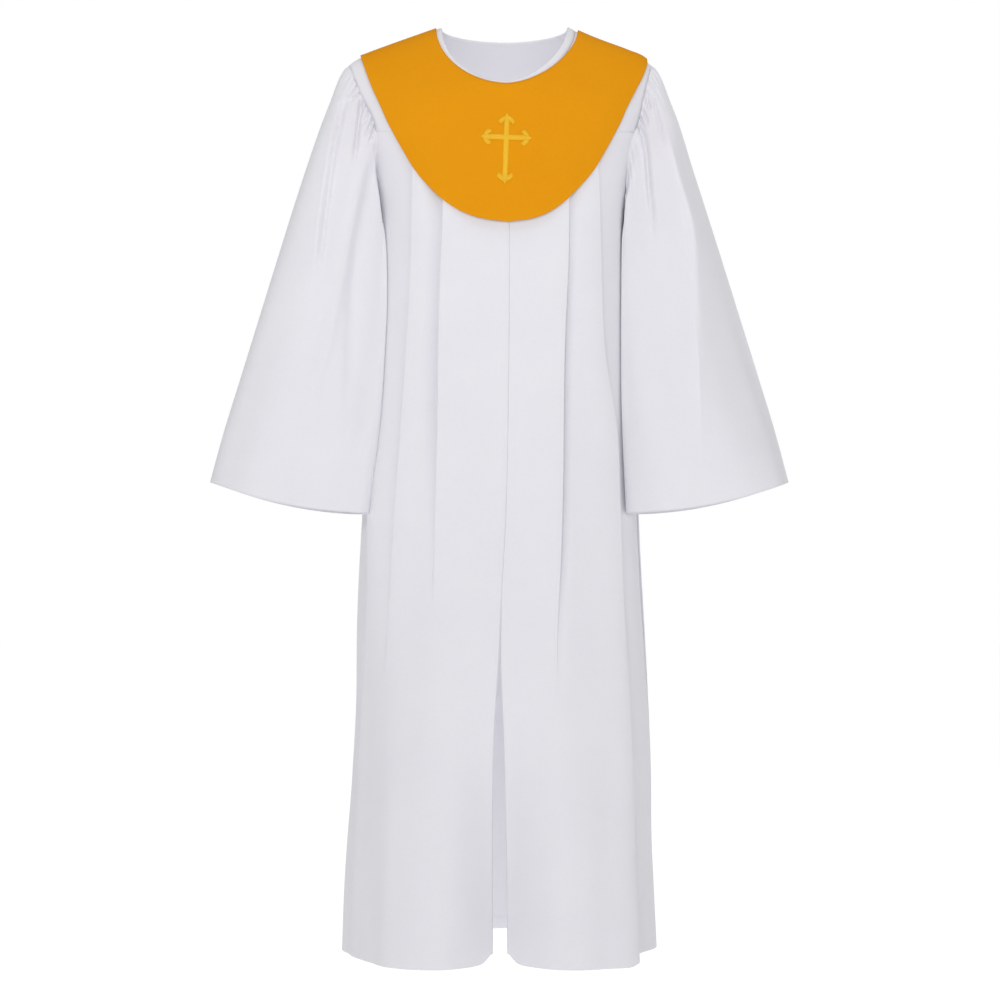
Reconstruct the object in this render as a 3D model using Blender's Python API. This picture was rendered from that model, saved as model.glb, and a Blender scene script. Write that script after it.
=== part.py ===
"""Clergy robe of white cloth with a gold overlay collar, hollow and filled out as it is worn.

Metres, +Z up, the front faces -Y. The origin lies midway between the two shoulder points.
A level is a distance below the origin, across is a distance along X.
"""
import bpy
import numpy as np

WALL = 0.0016
SEAM = 0.0002
YOKE_SEAM = 0.135
UNDERARM = 0.250
SLIT_TOP = 0.870
HEM = 1.294
CAP_FRONT = 0.130
CAP_BACK = 0.105
FRONT = -1
BACK = 1
LEFT = -1
RIGHT = 1

# level, half width, front depth, back depth, squareness of the section
BODY = (
    (-0.060, 0.250, 0.062, 0.080, 2.4),
    (0.030, 0.238, 0.078, 0.090, 2.4),
    (0.080, 0.222, 0.093, 0.098, 2.4),
    (0.140, 0.204, 0.108, 0.104, 2.4),
    (0.200, 0.188, 0.120, 0.108, 2.4),
    (0.250, 0.179, 0.126, 0.110, 2.4),
    (0.370, 0.183, 0.132, 0.113, 2.3),
    (0.500, 0.190, 0.138, 0.118, 2.3),
    (0.670, 0.198, 0.150, 0.130, 2.3),
    (0.800, 0.204, 0.164, 0.146, 2.2),
    (0.900, 0.207, 0.176, 0.158, 2.2),
    (1.100, 0.216, 0.198, 0.180, 2.2),
    (1.294, 0.224, 0.220, 0.200, 2.2),
)

# across, level of the shoulder line, which runs on as a hidden crown over the neck hole
SHOULDER = (
    (-0.240, 0.055),
    (-0.2165, 0.033),
    (-0.205, 0.0245),
    (-0.188, 0.0175),
    (-0.154, 0.005),
    (-0.106, -0.012),
    (-0.086, -0.019),
    (0.009, -0.052),
    (0.105, -0.017),
    (0.136, -0.004),
    (0.183, 0.0135),
    (0.205, 0.023),
    (0.2165, 0.033),
    (0.240, 0.055),
)

# level, across of the armhole's edge
ARMHOLE = (
    (0.033, 0.2165),
    (0.077, 0.1990),
    (0.100, 0.1870),
    (0.118, 0.1785),
    (0.140, 0.1748),
    (0.200, 0.1750),
    (0.250, 0.1790),
)

# level, across of the line where the two fronts meet
CENTRE_LINE = (
    (0.060, 0.0095),
    (0.265, 0.0126),
    (0.512, 0.0112),
    (0.654, 0.0084),
    (0.738, 0.0042),
    (0.870, 0.0000),
    (1.294, 0.0000),
)

# level, how far each edge of the slit has moved off the centre line, how deep the valley at the slit is
SLIT = (
    (0.600, 0.0000, 0.0000),
    (0.870, 0.0000, 0.0080),
    (0.980, 0.0068, 0.0260),
    (1.160, 0.0108, 0.0600),
    (1.294, 0.0120, 0.0850),
)

# Each fold: the face, the side, its crest as (level, across, depth), how wide it rises and how wide it falls
FOLDS = (
    (FRONT, LEFT, ((0.135, 0.068, 0.0), (0.220, 0.0735, 0.005), (0.416, 0.081, 0.010), (0.570, 0.082, 0.010),
                   (0.680, 0.087, 0.006), (0.850, 0.092, 0.002), (1.294, 0.095, 0.0)), 0.022, 0.0035),
    (FRONT, LEFT, ((0.135, 0.117, 0.0), (0.193, 0.120, 0.004), (0.416, 0.124, 0.010), (0.556, 0.133, 0.011),
                   (0.654, 0.140, 0.010), (0.793, 0.150, 0.006), (0.950, 0.163, 0.002), (1.294, 0.185, 0.0)),
     0.022, 0.0035),
    (FRONT, RIGHT, ((0.135, 0.092, 0.0), (0.235, 0.093, 0.005), (0.416, 0.086, 0.010), (0.654, 0.082, 0.010),
                    (0.738, 0.078, 0.008), (0.850, 0.0765, 0.004), (1.000, 0.076, 0.001), (1.294, 0.076, 0.0)),
     0.022, 0.0035),
    (FRONT, RIGHT, ((0.135, 0.132, 0.0), (0.235, 0.137, 0.004), (0.445, 0.141, 0.010), (0.556, 0.159, 0.011),
                    (0.654, 0.163, 0.012), (0.793, 0.166, 0.015), (1.000, 0.170, 0.026), (1.210, 0.170, 0.040),
                    (1.294, 0.168, 0.050)), 0.030, 0.0060),
    (BACK, LEFT, ((0.135, 0.040, 0.0), (0.250, 0.042, 0.006), (0.600, 0.050, 0.012), (1.000, 0.062, 0.010),
                  (1.294, 0.070, 0.012)), 0.022, 0.0040),
    (BACK, LEFT, ((0.135, 0.105, 0.0), (0.250, 0.108, 0.005), (0.600, 0.122, 0.011), (1.000, 0.140, 0.014),
                  (1.294, 0.152, 0.022)), 0.026, 0.0050),
    (BACK, RIGHT, ((0.135, 0.044, 0.0), (0.250, 0.046, 0.006), (0.600, 0.056, 0.012), (1.000, 0.070, 0.012),
                   (1.294, 0.080, 0.018)), 0.022, 0.0040),
    (BACK, RIGHT, ((0.135, 0.108, 0.0), (0.250, 0.112, 0.005), (0.600, 0.128, 0.011), (1.000, 0.146, 0.012),
                   (1.294, 0.158, 0.018)), 0.026, 0.0050),
)

# along the sleeve, outer across, outer level, inner across left, inner across right, inner level, half depth,
# middle in Y, squareness, bend of the ring from its inner to its outer end
SLEEVE = (
    (0.00, 0.2165, 0.0330, 0.179, 0.179, 0.250, 0.066, 0.000, 2.0, 1.0),
    (0.06, 0.2320, 0.0560, 0.180, 0.182, 0.262, 0.078, -0.002, 2.2, 1.0),
    (0.12, 0.2455, 0.0900, 0.166, 0.178, 0.290, 0.084, -0.006, 2.5, 1.0),
    (0.20, 0.2575, 0.1244, 0.150, 0.172, 0.330, 0.088, -0.009, 2.8, 1.0),
    (0.34, 0.2860, 0.2102, 0.138, 0.166, 0.400, 0.092, -0.012, 3.0, 1.1),
    (0.48, 0.3133, 0.2960, 0.135, 0.163, 0.460, 0.093, -0.012, 3.0, 1.2),
    (0.61, 0.3400, 0.3818, 0.136, 0.162, 0.515, 0.093, -0.012, 2.9, 1.3),
    (0.74, 0.3667, 0.4676, 0.142, 0.162, 0.570, 0.092, -0.011, 2.8, 1.5),
    (0.88, 0.3935, 0.5540, 0.153, 0.166, 0.625, 0.091, -0.010, 2.7, 1.8),
    (1.00, 0.4125, 0.6260, 0.168, 0.172, 0.671, 0.090, -0.010, 2.6, 2.1),
)

# Each large fold of a sleeve: the side, then (along, turn round the sleeve in degrees, depth, width in degrees)
SLEEVE_FOLDS = (
    (LEFT, ((0.00, 45, -0.001, 8), (0.12, 50, -0.006, 9), (0.40, 62, -0.008, 9), (0.55, 66, -0.003, 10),
            (0.70, 68, 0.0, 10), (1.00, 70, 0.0, 10))),
    (LEFT, ((0.00, 95, 0.0, 10), (0.15, 100, 0.005, 12), (0.45, 96, 0.008, 14), (0.75, 86, 0.007, 18),
            (1.00, 80, 0.004, 22))),
    (LEFT, ((0.00, 118, 0.0, 9), (0.25, 122, -0.003, 10), (0.55, 124, -0.006, 12), (0.85, 120, -0.003, 14),
            (1.00, 118, -0.001, 14))),
    (RIGHT, ((0.00, 70, 0.0, 9), (0.15, 86, 0.005, 10), (0.40, 84, 0.009, 11), (0.65, 84, 0.010, 13),
             (0.85, 84, 0.005, 16), (1.00, 84, 0.002, 18))),
    (RIGHT, ((0.00, 58, 0.0, 7), (0.15, 66, -0.005, 8), (0.40, 63, -0.009, 9), (0.65, 62, -0.008, 11),
             (0.85, 62, -0.003, 14), (1.00, 62, 0.0, 16))),
    (LEFT, ((0.00, 260, 0.0, 10), (0.30, 262, 0.007, 13), (0.70, 268, 0.008, 16), (1.00, 275, 0.005, 18))),
    (RIGHT, ((0.00, 268, 0.0, 10), (0.30, 270, -0.006, 12), (0.70, 274, -0.007, 14), (1.00, 280, -0.003, 16))),
)
GATHERS = 18

# turn from the middle (0) to the shoulder (1), half across, level of the collar's outer edge
COLLAR_FRONT_EDGE = (
    (0.00, 0.0000, 0.2675),
    (0.10, 0.0320, 0.2632),
    (0.20, 0.0575, 0.2540),
    (0.31, 0.0815, 0.2370),
    (0.40, 0.0990, 0.2190),
    (0.52, 0.1205, 0.1925),
    (0.63, 0.1365, 0.1663),
    (0.72, 0.1520, 0.1399),
    (0.84, 0.1710, 0.1050),
    (0.92, 0.1870, 0.0693),
    (1.00, 0.2000, 0.0230),
)
COLLAR_BACK_EDGE = (
    (0.00, 0.0000, 0.1560),
    (0.15, 0.0440, 0.1530),
    (0.30, 0.0860, 0.1430),
    (0.45, 0.1230, 0.1260),
    (0.60, 0.1520, 0.1030),
    (0.80, 0.1820, 0.0650),
    (1.00, 0.2000, 0.0230),
)


def curve(rows, column, at):
    """A smooth line through one column of a table, read at places of its first column."""
    table = np.array([[row[0], row[column]] for row in rows], dtype=float)
    xs = table[:, 0]
    ys = table[:, 1]
    slopes = np.gradient(ys, xs)
    at = np.clip(np.asarray(at, dtype=float), xs[0], xs[-1])
    i = np.clip(np.searchsorted(xs, at) - 1, 0, len(xs) - 2)
    step = xs[i + 1] - xs[i]
    t = (at - xs[i]) / step
    start = (1 + 2 * t) * (1 - t) ** 2 * ys[i] + t * (1 - t) ** 2 * step * slopes[i]
    end = t * t * (3 - 2 * t) * ys[i + 1] + t * t * (t - 1) * step * slopes[i + 1]
    return start + end


def ease(t):
    t = np.clip(t, 0.0, 1.0)
    return t * t * (3 - 2 * t)


def unit(vectors):
    length = np.linalg.norm(vectors, axis=-1, keepdims=True)
    return vectors / np.maximum(length, 1e-12)


def depth_at(across, level, face):
    """Y of the smooth body surface, seen from the front or the back."""
    half_width = curve(BODY, 1, level)
    depth = curve(BODY, 2 if face == FRONT else 3, level)
    power = curve(BODY, 4, level)
    cap = CAP_FRONT if face == FRONT else CAP_BACK
    fall = np.clip((level - curve(SHOULDER, 1, across)) / cap, 0.0, 1.0)
    section = (1 - np.clip(np.abs(across) / half_width, 0.0, 1.0) ** power) ** (1 / power)
    return face * depth * section * np.sqrt(1 - (1 - fall) ** 2)


def lean_of(across, level, face):
    """How far round the shoulder's cap a place lies: 0 on the shoulder line, then downwards."""
    cap = CAP_FRONT if face == FRONT else CAP_BACK
    fall = np.maximum(level - curve(SHOULDER, 1, across), 0.0) / cap
    return np.where(fall < 1, np.arccos(1 - np.minimum(fall, 1.0)), np.pi / 2 + fall - 1)


def cap_points(across, lean, face):
    """Points of the body surface from their place across and their lean round the shoulder."""
    cap = CAP_FRONT if face == FRONT else CAP_BACK
    fall = np.where(lean < np.pi / 2, 1 - np.cos(np.minimum(lean, np.pi / 2)), 1 + lean - np.pi / 2)
    level = curve(SHOULDER, 1, across) + cap * fall
    return np.stack([across, depth_at(across, level, face), -level], axis=-1)


def section_line(level, face):
    """One half section of the body, left to right: girth from the middle, across, Y."""
    half_width = float(curve(BODY, 1, level))
    depth = float(curve(BODY, 2 if face == FRONT else 3, level))
    power = float(curve(BODY, 4, level))
    turn = np.linspace(-np.pi / 2, np.pi / 2, 361)
    across = half_width * np.sign(turn) * np.abs(np.sin(turn)) ** (2 / power)
    cap = CAP_FRONT if face == FRONT else CAP_BACK
    fall = np.clip((level - curve(SHOULDER, 1, across)) / cap, 0.0, 1.0)
    y = face * depth * np.abs(np.cos(turn)) ** (2 / power) * np.sqrt(1 - (1 - fall) ** 2)
    girth = np.concatenate([[0.0], np.cumsum(np.hypot(np.diff(across), np.diff(y)))])
    return girth - np.interp(0.0, across, girth), across, y


def fold_lift(girth, level, face, line):
    """How far the cloth stands off the smooth section at places round it."""
    lift = np.zeros_like(girth)
    for fold_face, side, crest, rise, drop in FOLDS:
        if fold_face != face:
            continue
        place = np.interp(side * float(curve(crest, 1, level)), line[1], line[0])
        depth = max(float(curve(crest, 2, level)), 0.0)
        off = (girth - place) * side
        fall = np.clip(off / drop, 0.0, 1.0)
        before = np.exp(-(np.minimum(off, 0.0) / rise) ** 2)
        after = np.exp(-(np.maximum(off - drop, 0.0) / rise) ** 2)
        lift += depth * np.where(off < drop, 0.55 * before - fall, -0.45 * after)
    if face == FRONT:
        centre = float(curve(CENTRE_LINE, 1, level))
        valley = float(curve(SLIT, 2, level)) if level > SLIT[0][0] else 0.0
        swell = 0.022 * float(ease((level - 0.8) / 0.5))
        lift -= valley * np.exp(-((girth - centre) / 0.050) ** 2)
        lift += swell * np.exp(-((np.abs(girth) - 0.130) / 0.055) ** 2)
    else:
        sweep = 0.016 * float(ease((level - 0.5) / 0.8))
        lift += sweep * np.cos(girth / 0.062) * np.exp(-(girth / 0.16) ** 2)
    return lift


def panel_row(level, face, girths, line, hem_rise):
    """Points of one level of a front or back panel."""
    girth, across, y = line
    x = np.interp(girths, girth, across)
    depth = np.interp(girths, girth, y)
    ahead_x = np.interp(girths + 0.003, girth, across)
    ahead_y = np.interp(girths + 0.003, girth, y)
    behind_x = np.interp(girths - 0.003, girth, across)
    behind_y = np.interp(girths - 0.003, girth, y)
    along = unit(np.stack([ahead_x - behind_x, ahead_y - behind_y], axis=-1))
    lift = fold_lift(girths, level, face, line)
    out_x = along[:, 1] * -face
    out_y = along[:, 0] * face
    return np.stack([x + out_x * lift, depth + out_y * lift, hem_rise - level], axis=-1)


def fold_places(face, side, level, line):
    """Girths that carry a column of points: close together at each crest."""
    places = []
    for fold_face, fold_side, crest, rise, drop in FOLDS:
        if fold_face == face and fold_side == side:
            place = np.interp(side * float(curve(crest, 1, level)), line[1], line[0])
            places.append((abs(place), rise, drop))
    return places


def panel_girths(face, side, level, line, start, end):
    """Girths of one row from the middle to the side, all rows with the same count."""
    stops = [start]
    for place, rise, drop in fold_places(face, side, level, line):
        gap = place - stops[-1]
        before = min(1.6 * rise, 0.5 * gap)
        stops += list(np.linspace(stops[-1], place - before, 4)[1:])
        stops += [place - 0.45 * before, place - 0.15 * before, place, place + drop]
        stops.append(place + drop + 0.35 * rise)
    room = end - stops[-1]
    stops += list(stops[-1] + room * np.array([0.15, 0.33, 0.52, 0.7, 0.85, 0.95, 1.0]))
    return np.array(stops) * side


def inset(grid, sides):
    """Draws chosen edges of a grid of points in by the seam's half gap."""
    grid = grid.copy()
    if "first_row" in sides:
        grid[0] += unit(grid[1] - grid[0]) * SEAM
    if "last_row" in sides:
        grid[-1] += unit(grid[-2] - grid[-1]) * SEAM
    if "first_column" in sides:
        grid[:, 0] += unit(grid[:, 1] - grid[:, 0]) * SEAM
    if "last_column" in sides:
        grid[:, -1] += unit(grid[:, -2] - grid[:, -1]) * SEAM
    return grid


def tangents(grid, axis, ring):
    """Mean direction along an axis at each point, and how much a mitred wall widens there."""
    points = np.moveaxis(grid, axis, 0)
    if ring:
        steps = unit(np.roll(points, -1, axis=0) - points)
        before = np.roll(steps, 1, axis=0)
        total = steps + before
    else:
        steps = unit(points[1:] - points[:-1])
        first = 1.5 * steps[0] - 0.5 * steps[1]
        last = 1.5 * steps[-1] - 0.5 * steps[-2]
        middle = steps[1:] + steps[:-1]
        total = np.concatenate([2 * unit(first)[None], middle, 2 * unit(last)[None]])
    widen = 2 / np.maximum(np.linalg.norm(total, axis=-1, keepdims=True), 1.3)
    return np.moveaxis(unit(total), 0, axis), np.moveaxis(widen, 0, axis)


def outward(grid, ring=False, crest=(), inside=(0.0, 0.0, -0.3)):
    """Outward directions of a grid, and how much longer they are where the wall turns a corner."""
    down, _ = tangents(grid, 0, False)
    round_, widen = tangents(grid, 1, ring)
    normal = unit(np.cross(down, round_))
    for column in crest:
        normal[:, column, 1] = 0.0
    normal = unit(normal)
    centre = grid.mean(axis=1, keepdims=True) if ring else np.array(inside)
    if np.sum(normal * (grid - centre)) < 0:
        normal = -normal
    return normal, widen


def add_solid(name, points, faces):
    mesh = bpy.data.meshes.new(name)
    mesh.from_pydata([tuple(point) for point in points], [], faces)
    mesh.validate()
    mesh.update()
    piece = bpy.data.objects.new(name, mesh)
    bpy.context.scene.collection.objects.link(piece)
    return piece


def wall(name, grid, ring=False, crest=()):
    """A cloth wall: the grid is its outer face, and the inner face follows inside it."""
    normal, widen = outward(grid, ring, crest)
    inner = grid - normal * widen * WALL
    rows, columns = grid.shape[:2]
    points = np.concatenate([grid.reshape(-1, 3), inner.reshape(-1, 3)])
    count = rows * columns
    last = columns if ring else columns - 1
    faces = []
    for i in range(rows - 1):
        for j in range(last):
            k = (j + 1) % columns
            a, b = i * columns + j, i * columns + k
            c, d = (i + 1) * columns + k, (i + 1) * columns + j
            faces.append((a, d, c, b))
            faces.append((count + a, count + b, count + c, count + d))
    for j in range(last):
        k = (j + 1) % columns
        top_a, top_b = j, k
        low_a, low_b = (rows - 1) * columns + j, (rows - 1) * columns + k
        faces.append((top_a, top_b, count + top_b, count + top_a))
        faces.append((low_b, low_a, count + low_a, count + low_b))
    if not ring:
        for i in range(rows - 1):
            a, b = i * columns, (i + 1) * columns
            c, d = a + columns - 1, b + columns - 1
            faces.append((b, a, count + a, count + b))
            faces.append((c, d, count + d, count + c))
    first = grid[0, 0], grid[1, 0], grid[1, 1]
    if np.dot(np.cross(first[1] - first[0], first[2] - first[0]), normal[0, 0]) < 0:
        faces = [face[::-1] for face in faces]
    return add_solid(name, points, faces)


def panel_grid(face, side, levels):
    """Outer face of a front panel or of half of the back panel, middle to side, top to hem."""
    rows = []
    for level in levels:
        line = section_line(level, face)
        across = float(curve(ARMHOLE, 1, level)) if level < UNDERARM else float(curve(BODY, 1, level))
        end = abs(np.interp(side * across, line[1], line[0]))
        start = 0.0
        if face == FRONT:
            start = side * float(curve(CENTRE_LINE, 1, level))
            start += float(curve(SLIT, 1, level)) if level > SLIT_TOP else 0.0
        girths = panel_girths(face, side, level, line, start, end)
        hemward = float(ease((level - 1.20) / 0.094))
        rise = np.zeros_like(girths)
        if face == BACK and side == RIGHT:
            rise = 0.008 * hemward * ease(1 - (end - girths) / 0.07)
        if face == FRONT:
            near = np.exp(-((np.abs(girths) - start) / 0.012) ** 2)
            rise = 0.011 * hemward * near
            if side == RIGHT:
                outer_fold = fold_places(face, side, level, line)[-1][0]
                rise += 0.008 * hemward * ease((girths - outer_fold) / 0.012)
        rows.append(panel_row(level, face, girths, line, rise))
    return np.array(rows)


def armhole_point(turn, side):
    """A point of the armhole: 0 at the shoulder, 90 in front, 180 under the arm, 270 behind."""
    angle = np.radians(turn)
    level = ARMHOLE[0][0] + (UNDERARM - ARMHOLE[0][0]) * (1 - np.cos(angle)) / 2
    across = curve(ARMHOLE, 1, level)
    front = depth_at(across, level, FRONT)
    back = depth_at(across, level, BACK)
    y = np.where(np.sin(angle) >= 0, front, back)
    return np.stack([side * across, y, -level], axis=-1)


def yoke_edge(turn, side):
    """Outer edge of a yoke from the middle (0) along the yoke seam and up the armhole (1)."""
    corner = 0.62
    reach = float(curve(ARMHOLE, 1, YOKE_SEAM))
    seam = np.clip(turn / corner, 0.0, 1.0)
    climb = np.clip((turn - corner) / (1 - corner), 0.0, 1.0)
    level = ARMHOLE[0][0] + (YOKE_SEAM - ARMHOLE[0][0]) * (1 - np.cos((1 - climb) * np.pi / 2))
    along_arm = curve(ARMHOLE, 1, level)
    return side * np.where(turn < corner, seam * reach, along_arm), level


def neck_edge(turn, side, face, middle, half, low):
    """Neck edge from its middle (0) to the shoulder line (1)."""
    angle = turn * np.pi / 2
    top_across = middle + side * half
    top = float(curve(SHOULDER, 1, top_across))
    return middle + side * half * np.sin(angle), top + (low - top) * np.cos(angle)


def fan(inner, outer, face, rows):
    """Grid of the cap surface between a neck edge and an outer edge, both as (across, level)."""
    first = lean_of(inner[0], inner[1], face)
    last = lean_of(outer[0], outer[1], face)
    grid = []
    for share in rows:
        across = inner[0] + (outer[0] - inner[0]) * share
        grid.append(cap_points(across, first + (last - first) * share, face))
    return np.array(grid)


def yoke_grid(face, side, rows):
    turn = np.concatenate([np.linspace(0.0, 0.62, 9), np.linspace(0.62, 1.0, 11)[1:]])
    low = 0.066 if face == FRONT else -0.009
    inner = neck_edge(turn, side, face, 0.0085, 0.0945, low)
    outer = yoke_edge(turn, side)
    if face == FRONT:
        centre = float(curve(CENTRE_LINE, 1, YOKE_SEAM)) * (1 - ease(turn / 0.62))
        outer = (outer[0] + centre, outer[1])
    return fan(inner, outer, face, rows)


def collar_grid(face, side, rows):
    turn = np.concatenate([np.linspace(0.0, 0.84, 12), 1 - np.linspace(0.4, 0.0, 9)[1:] ** 2])
    low = 0.0678 if face == FRONT else -0.0085
    table = COLLAR_FRONT_EDGE if face == FRONT else COLLAR_BACK_EDGE
    inner = neck_edge(turn, side, face, 0.0107, 0.0990, low)
    across = side * curve(table, 1, turn) + 0.0105 - 0.005 * ease(turn / 0.4)
    across += 0.004 * ease((turn - 0.8) / 0.2) * (side == RIGHT)
    short = float(curve(SHOULDER, 1, across[-1])) - table[-1][2]
    level = curve(table, 2, turn) + short * ease((turn - 0.8) / 0.2)
    return fan(inner, (across, level), face, rows)


def both_sides(make):
    """Joins a left half and a right half, which share their middle column."""
    left = make(LEFT)
    right = make(RIGHT)
    return np.concatenate([left[:, ::-1], right[:, 1:]], axis=1)


def raise_off(grid, lift):
    """Moves a collar half out from the body surface it was read from."""
    normal, _ = outward(grid, crest=(0, -1))
    return grid + normal * lift


def sleeve_ring(along, side, turns):
    """One ring of a sleeve, just clear of the body beside it."""
    angle = np.radians(turns)
    outer_x = float(curve(SLEEVE, 1, along))
    outer_level = float(curve(SLEEVE, 2, along))
    inner_x = float(curve(SLEEVE, 3 if side == LEFT else 4, along))
    inner_level = float(curve(SLEEVE, 5, along))
    half_depth = float(curve(SLEEVE, 6, along))
    middle = float(curve(SLEEVE, 7, along))
    power = float(curve(SLEEVE, 8, along))
    bend = float(curve(SLEEVE, 9, along))
    reach = np.sign(np.cos(angle)) * np.abs(np.cos(angle)) ** (2 / power)
    x = (outer_x + inner_x) / 2 + (outer_x - inner_x) / 2 * reach
    y = middle - half_depth * np.sign(np.sin(angle)) * np.abs(np.sin(angle)) ** (2 / power)
    share = ((1 + reach) / 2) ** bend
    level = inner_level + (outer_level - inner_level) * share
    level += 0.0045 * float(ease(along)) * (1 - np.sin(angle)) / 2
    points = np.stack([side * x, y, -level], axis=-1)
    start = armhole_point(turns, side)
    if along > 0:
        points += (start - sleeve_ring(0.0, side, turns)) * (1 - ease(along / 0.25))
    return points


def clear_of_body(points, side, gap):
    """Moves points sideways until they are clear of the body beside them."""
    level = -points[:, 2]
    depth = np.where(points[:, 1] < 0, curve(BODY, 2, level), curve(BODY, 3, level)) + gap
    half_width = curve(BODY, 1, level) + gap
    power = curve(BODY, 4, level)
    limit = half_width * (1 - np.clip(np.abs(points[:, 1]) / depth, 0.0, 1.0) ** power) ** (1 / power)
    share = ease((level - 0.205) / 0.05)
    across = np.abs(points[:, 0])
    blend = np.logaddexp(across / 0.002, limit / 0.002) * 0.002
    points[:, 0] = side * (across + (blend - across) * share)
    return points


def sleeve_grid(side, alongs, turns):
    rows = []
    for along in alongs:
        if along > 0:
            points = clear_of_body(sleeve_ring(along, side, turns), side, 0.011 * float(ease(along / 0.1)) + 0.001)
        else:
            points = armhole_point(turns, side)
            points[:, 0] += side * SEAM * (3 + 3 * np.maximum(np.cos(np.radians(turns)), 0.0))
            points[:, 2] += 2 * SEAM * np.maximum(-np.cos(np.radians(turns)), 0.0)
        rows.append(points)
    grid = np.array(rows)
    normal, _ = outward(grid, ring=True)
    lift = np.zeros(grid.shape[:2])
    for fold_side, crest in SLEEVE_FOLDS:
        if fold_side == side:
            for i, along in enumerate(alongs):
                off = (turns - float(curve(crest, 1, along))) / float(curve(crest, 3, along))
                lift[i] += float(curve(crest, 2, along)) * np.exp(-off ** 2)
    for i, along in enumerate(alongs):
        top = np.cos(np.radians(turns) / 2) ** 2
        size = 0.0028 * float(ease(along / 0.03)) * float(1 - ease((along - 0.03) / 0.22))
        lift[i] += size * ease(top / 0.4) * np.cos(np.radians(turns * GATHERS * 1.25))
    return grid + normal * lift[:, :, None]


def sleeve_turns():
    """Turns round a sleeve: four to each gather over its head, fewer under the arm."""
    gather = 360 / (GATHERS * 1.25)
    head = np.arange(-36, 37) * gather / 4
    under = np.linspace(head[-1], 360 + head[0], 13)[1:-1]
    return np.sort(np.concatenate([head, under]) % 360)


def binding_grid():
    """Band round the neck edge, standing just inside it: four rows of points round the neck."""
    front = both_sides(lambda side: yoke_grid(FRONT, side, (0.0, 0.05)))
    back = both_sides(lambda side: yoke_grid(BACK, side, (0.0, 0.05)))
    loop = np.concatenate([front, back[:, ::-1][:, 1:-1]], axis=1)
    edge = loop[0]
    inward = unit(loop[0] - loop[1])
    around = unit(np.roll(edge, -1, axis=0) - np.roll(edge, 1, axis=0))
    out = unit(np.cross(inward, around))
    if np.sum(out * (edge - np.array((0.0, 0.0, -0.3)))) < 0:
        out = -out
    near = edge + inward * 0.0004
    far = edge + inward * 0.0030
    return [near + out * 0.0052, far + out * 0.0058, far - out * 0.0040, near - out * 0.0034]


def closed_band(name, loops):
    """A band closed both ways from loops of points."""
    rows = len(loops)
    columns = len(loops[0])
    points = np.concatenate(loops)
    faces = []
    for i in range(rows):
        for j in range(columns):
            k = (j + 1) % columns
            n = (i + 1) % rows
            faces.append((i * columns + j, i * columns + k, n * columns + k, n * columns + j))
    centre = points.mean(axis=0)
    volume = sum(np.dot(points[f[0]] - centre, np.cross(points[f[1]] - centre, points[f[2]] - centre))
                 + np.dot(points[f[0]] - centre, np.cross(points[f[2]] - centre, points[f[3]] - centre))
                 for f in faces)
    if volume < 0:
        faces = [face[::-1] for face in faces]
    return add_solid(name, points, faces)


def cross_outline():
    """Outline of the cross about its middle: bars with pointed, back-swept ends."""
    half_bar = 0.0034
    arms = (("up", 0.0345), ("right", 0.0362), ("down", 0.0665), ("left", 0.0362))
    directions = {"up": (0.0, 1.0), "right": (1.0, 0.0), "down": (0.0, -1.0), "left": (-1.0, 0.0)}
    outline = []
    for name, reach in arms:
        ahead = np.array(directions[name])
        beside = np.array((-ahead[1], ahead[0]))
        half = [(half_bar, reach - 0.0150), (0.0058, reach - 0.0172), (0.0098, reach - 0.0158),
                (0.0086, reach - 0.0118), (0.0052, reach - 0.0068)]
        outline.append(beside * half_bar + ahead * half_bar)
        outline += [beside * w + ahead * r for w, r in half]
        outline.append(ahead * reach)
        outline += [-beside * w + ahead * r for w, r in half[::-1]]
    return np.array(outline)


def cross_solid(collar_lift):
    """Thin raised cross that follows the collar's front."""
    outline = cross_outline()
    tilt = np.radians(-2.0)
    across = 0.0088 + outline[:, 0] * np.cos(tilt) - outline[:, 1] * np.sin(tilt)
    level = 0.1475 - (outline[:, 0] * np.sin(tilt) + outline[:, 1] * np.cos(tilt))
    front = depth_at(across, level, FRONT) - collar_lift(level)
    low = np.stack([across, front - 0.0010, -level], axis=-1)
    high = low - np.array((0.0, 0.0010, 0.0))
    count = len(outline)
    middle_low = np.array((0.0088, float(depth_at(0.0088, 0.1475, FRONT)) - collar_lift(0.1475) - 0.0010, -0.1475))
    middle_high = middle_low - np.array((0.0, 0.0010, 0.0))
    corners = [i for i in range(count) if i % 12 == 0]
    points = np.concatenate([low, high, [middle_low, middle_high]])
    faces = []
    for i in range(count):
        k = (i + 1) % count
        faces.append((i, k, count + k, count + i))
    for number, start in enumerate(corners):
        pairs = [((start + a) % count, (start + b) % count) for a, b in
                 ((0, 12), (1, 11), (2, 10), (3, 9), (4, 8), (5, 7))]
        for (a, b), (c, d) in zip(pairs[:-1], pairs[1:]):
            faces.append((count + a, count + c, count + d, count + b))
            faces.append((b, d, c, a))
        tip = (start + 6) % count
        a, b = pairs[-1]
        faces.append((count + a, count + tip, count + b))
        faces.append((b, tip, a))
        a, b = pairs[0]
        faces.append((count + a, count + b, 2 * count + 1))
        faces.append((b, a, 2 * count))
    return add_solid("cross", points, [face[::-1] for face in faces])


def collar_lift(level):
    """How far the collar's outer face stands off the smooth body, to clear the pleats below it."""
    return 0.0036 + 0.0040 * ease((level - 0.11) / 0.15)


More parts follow.
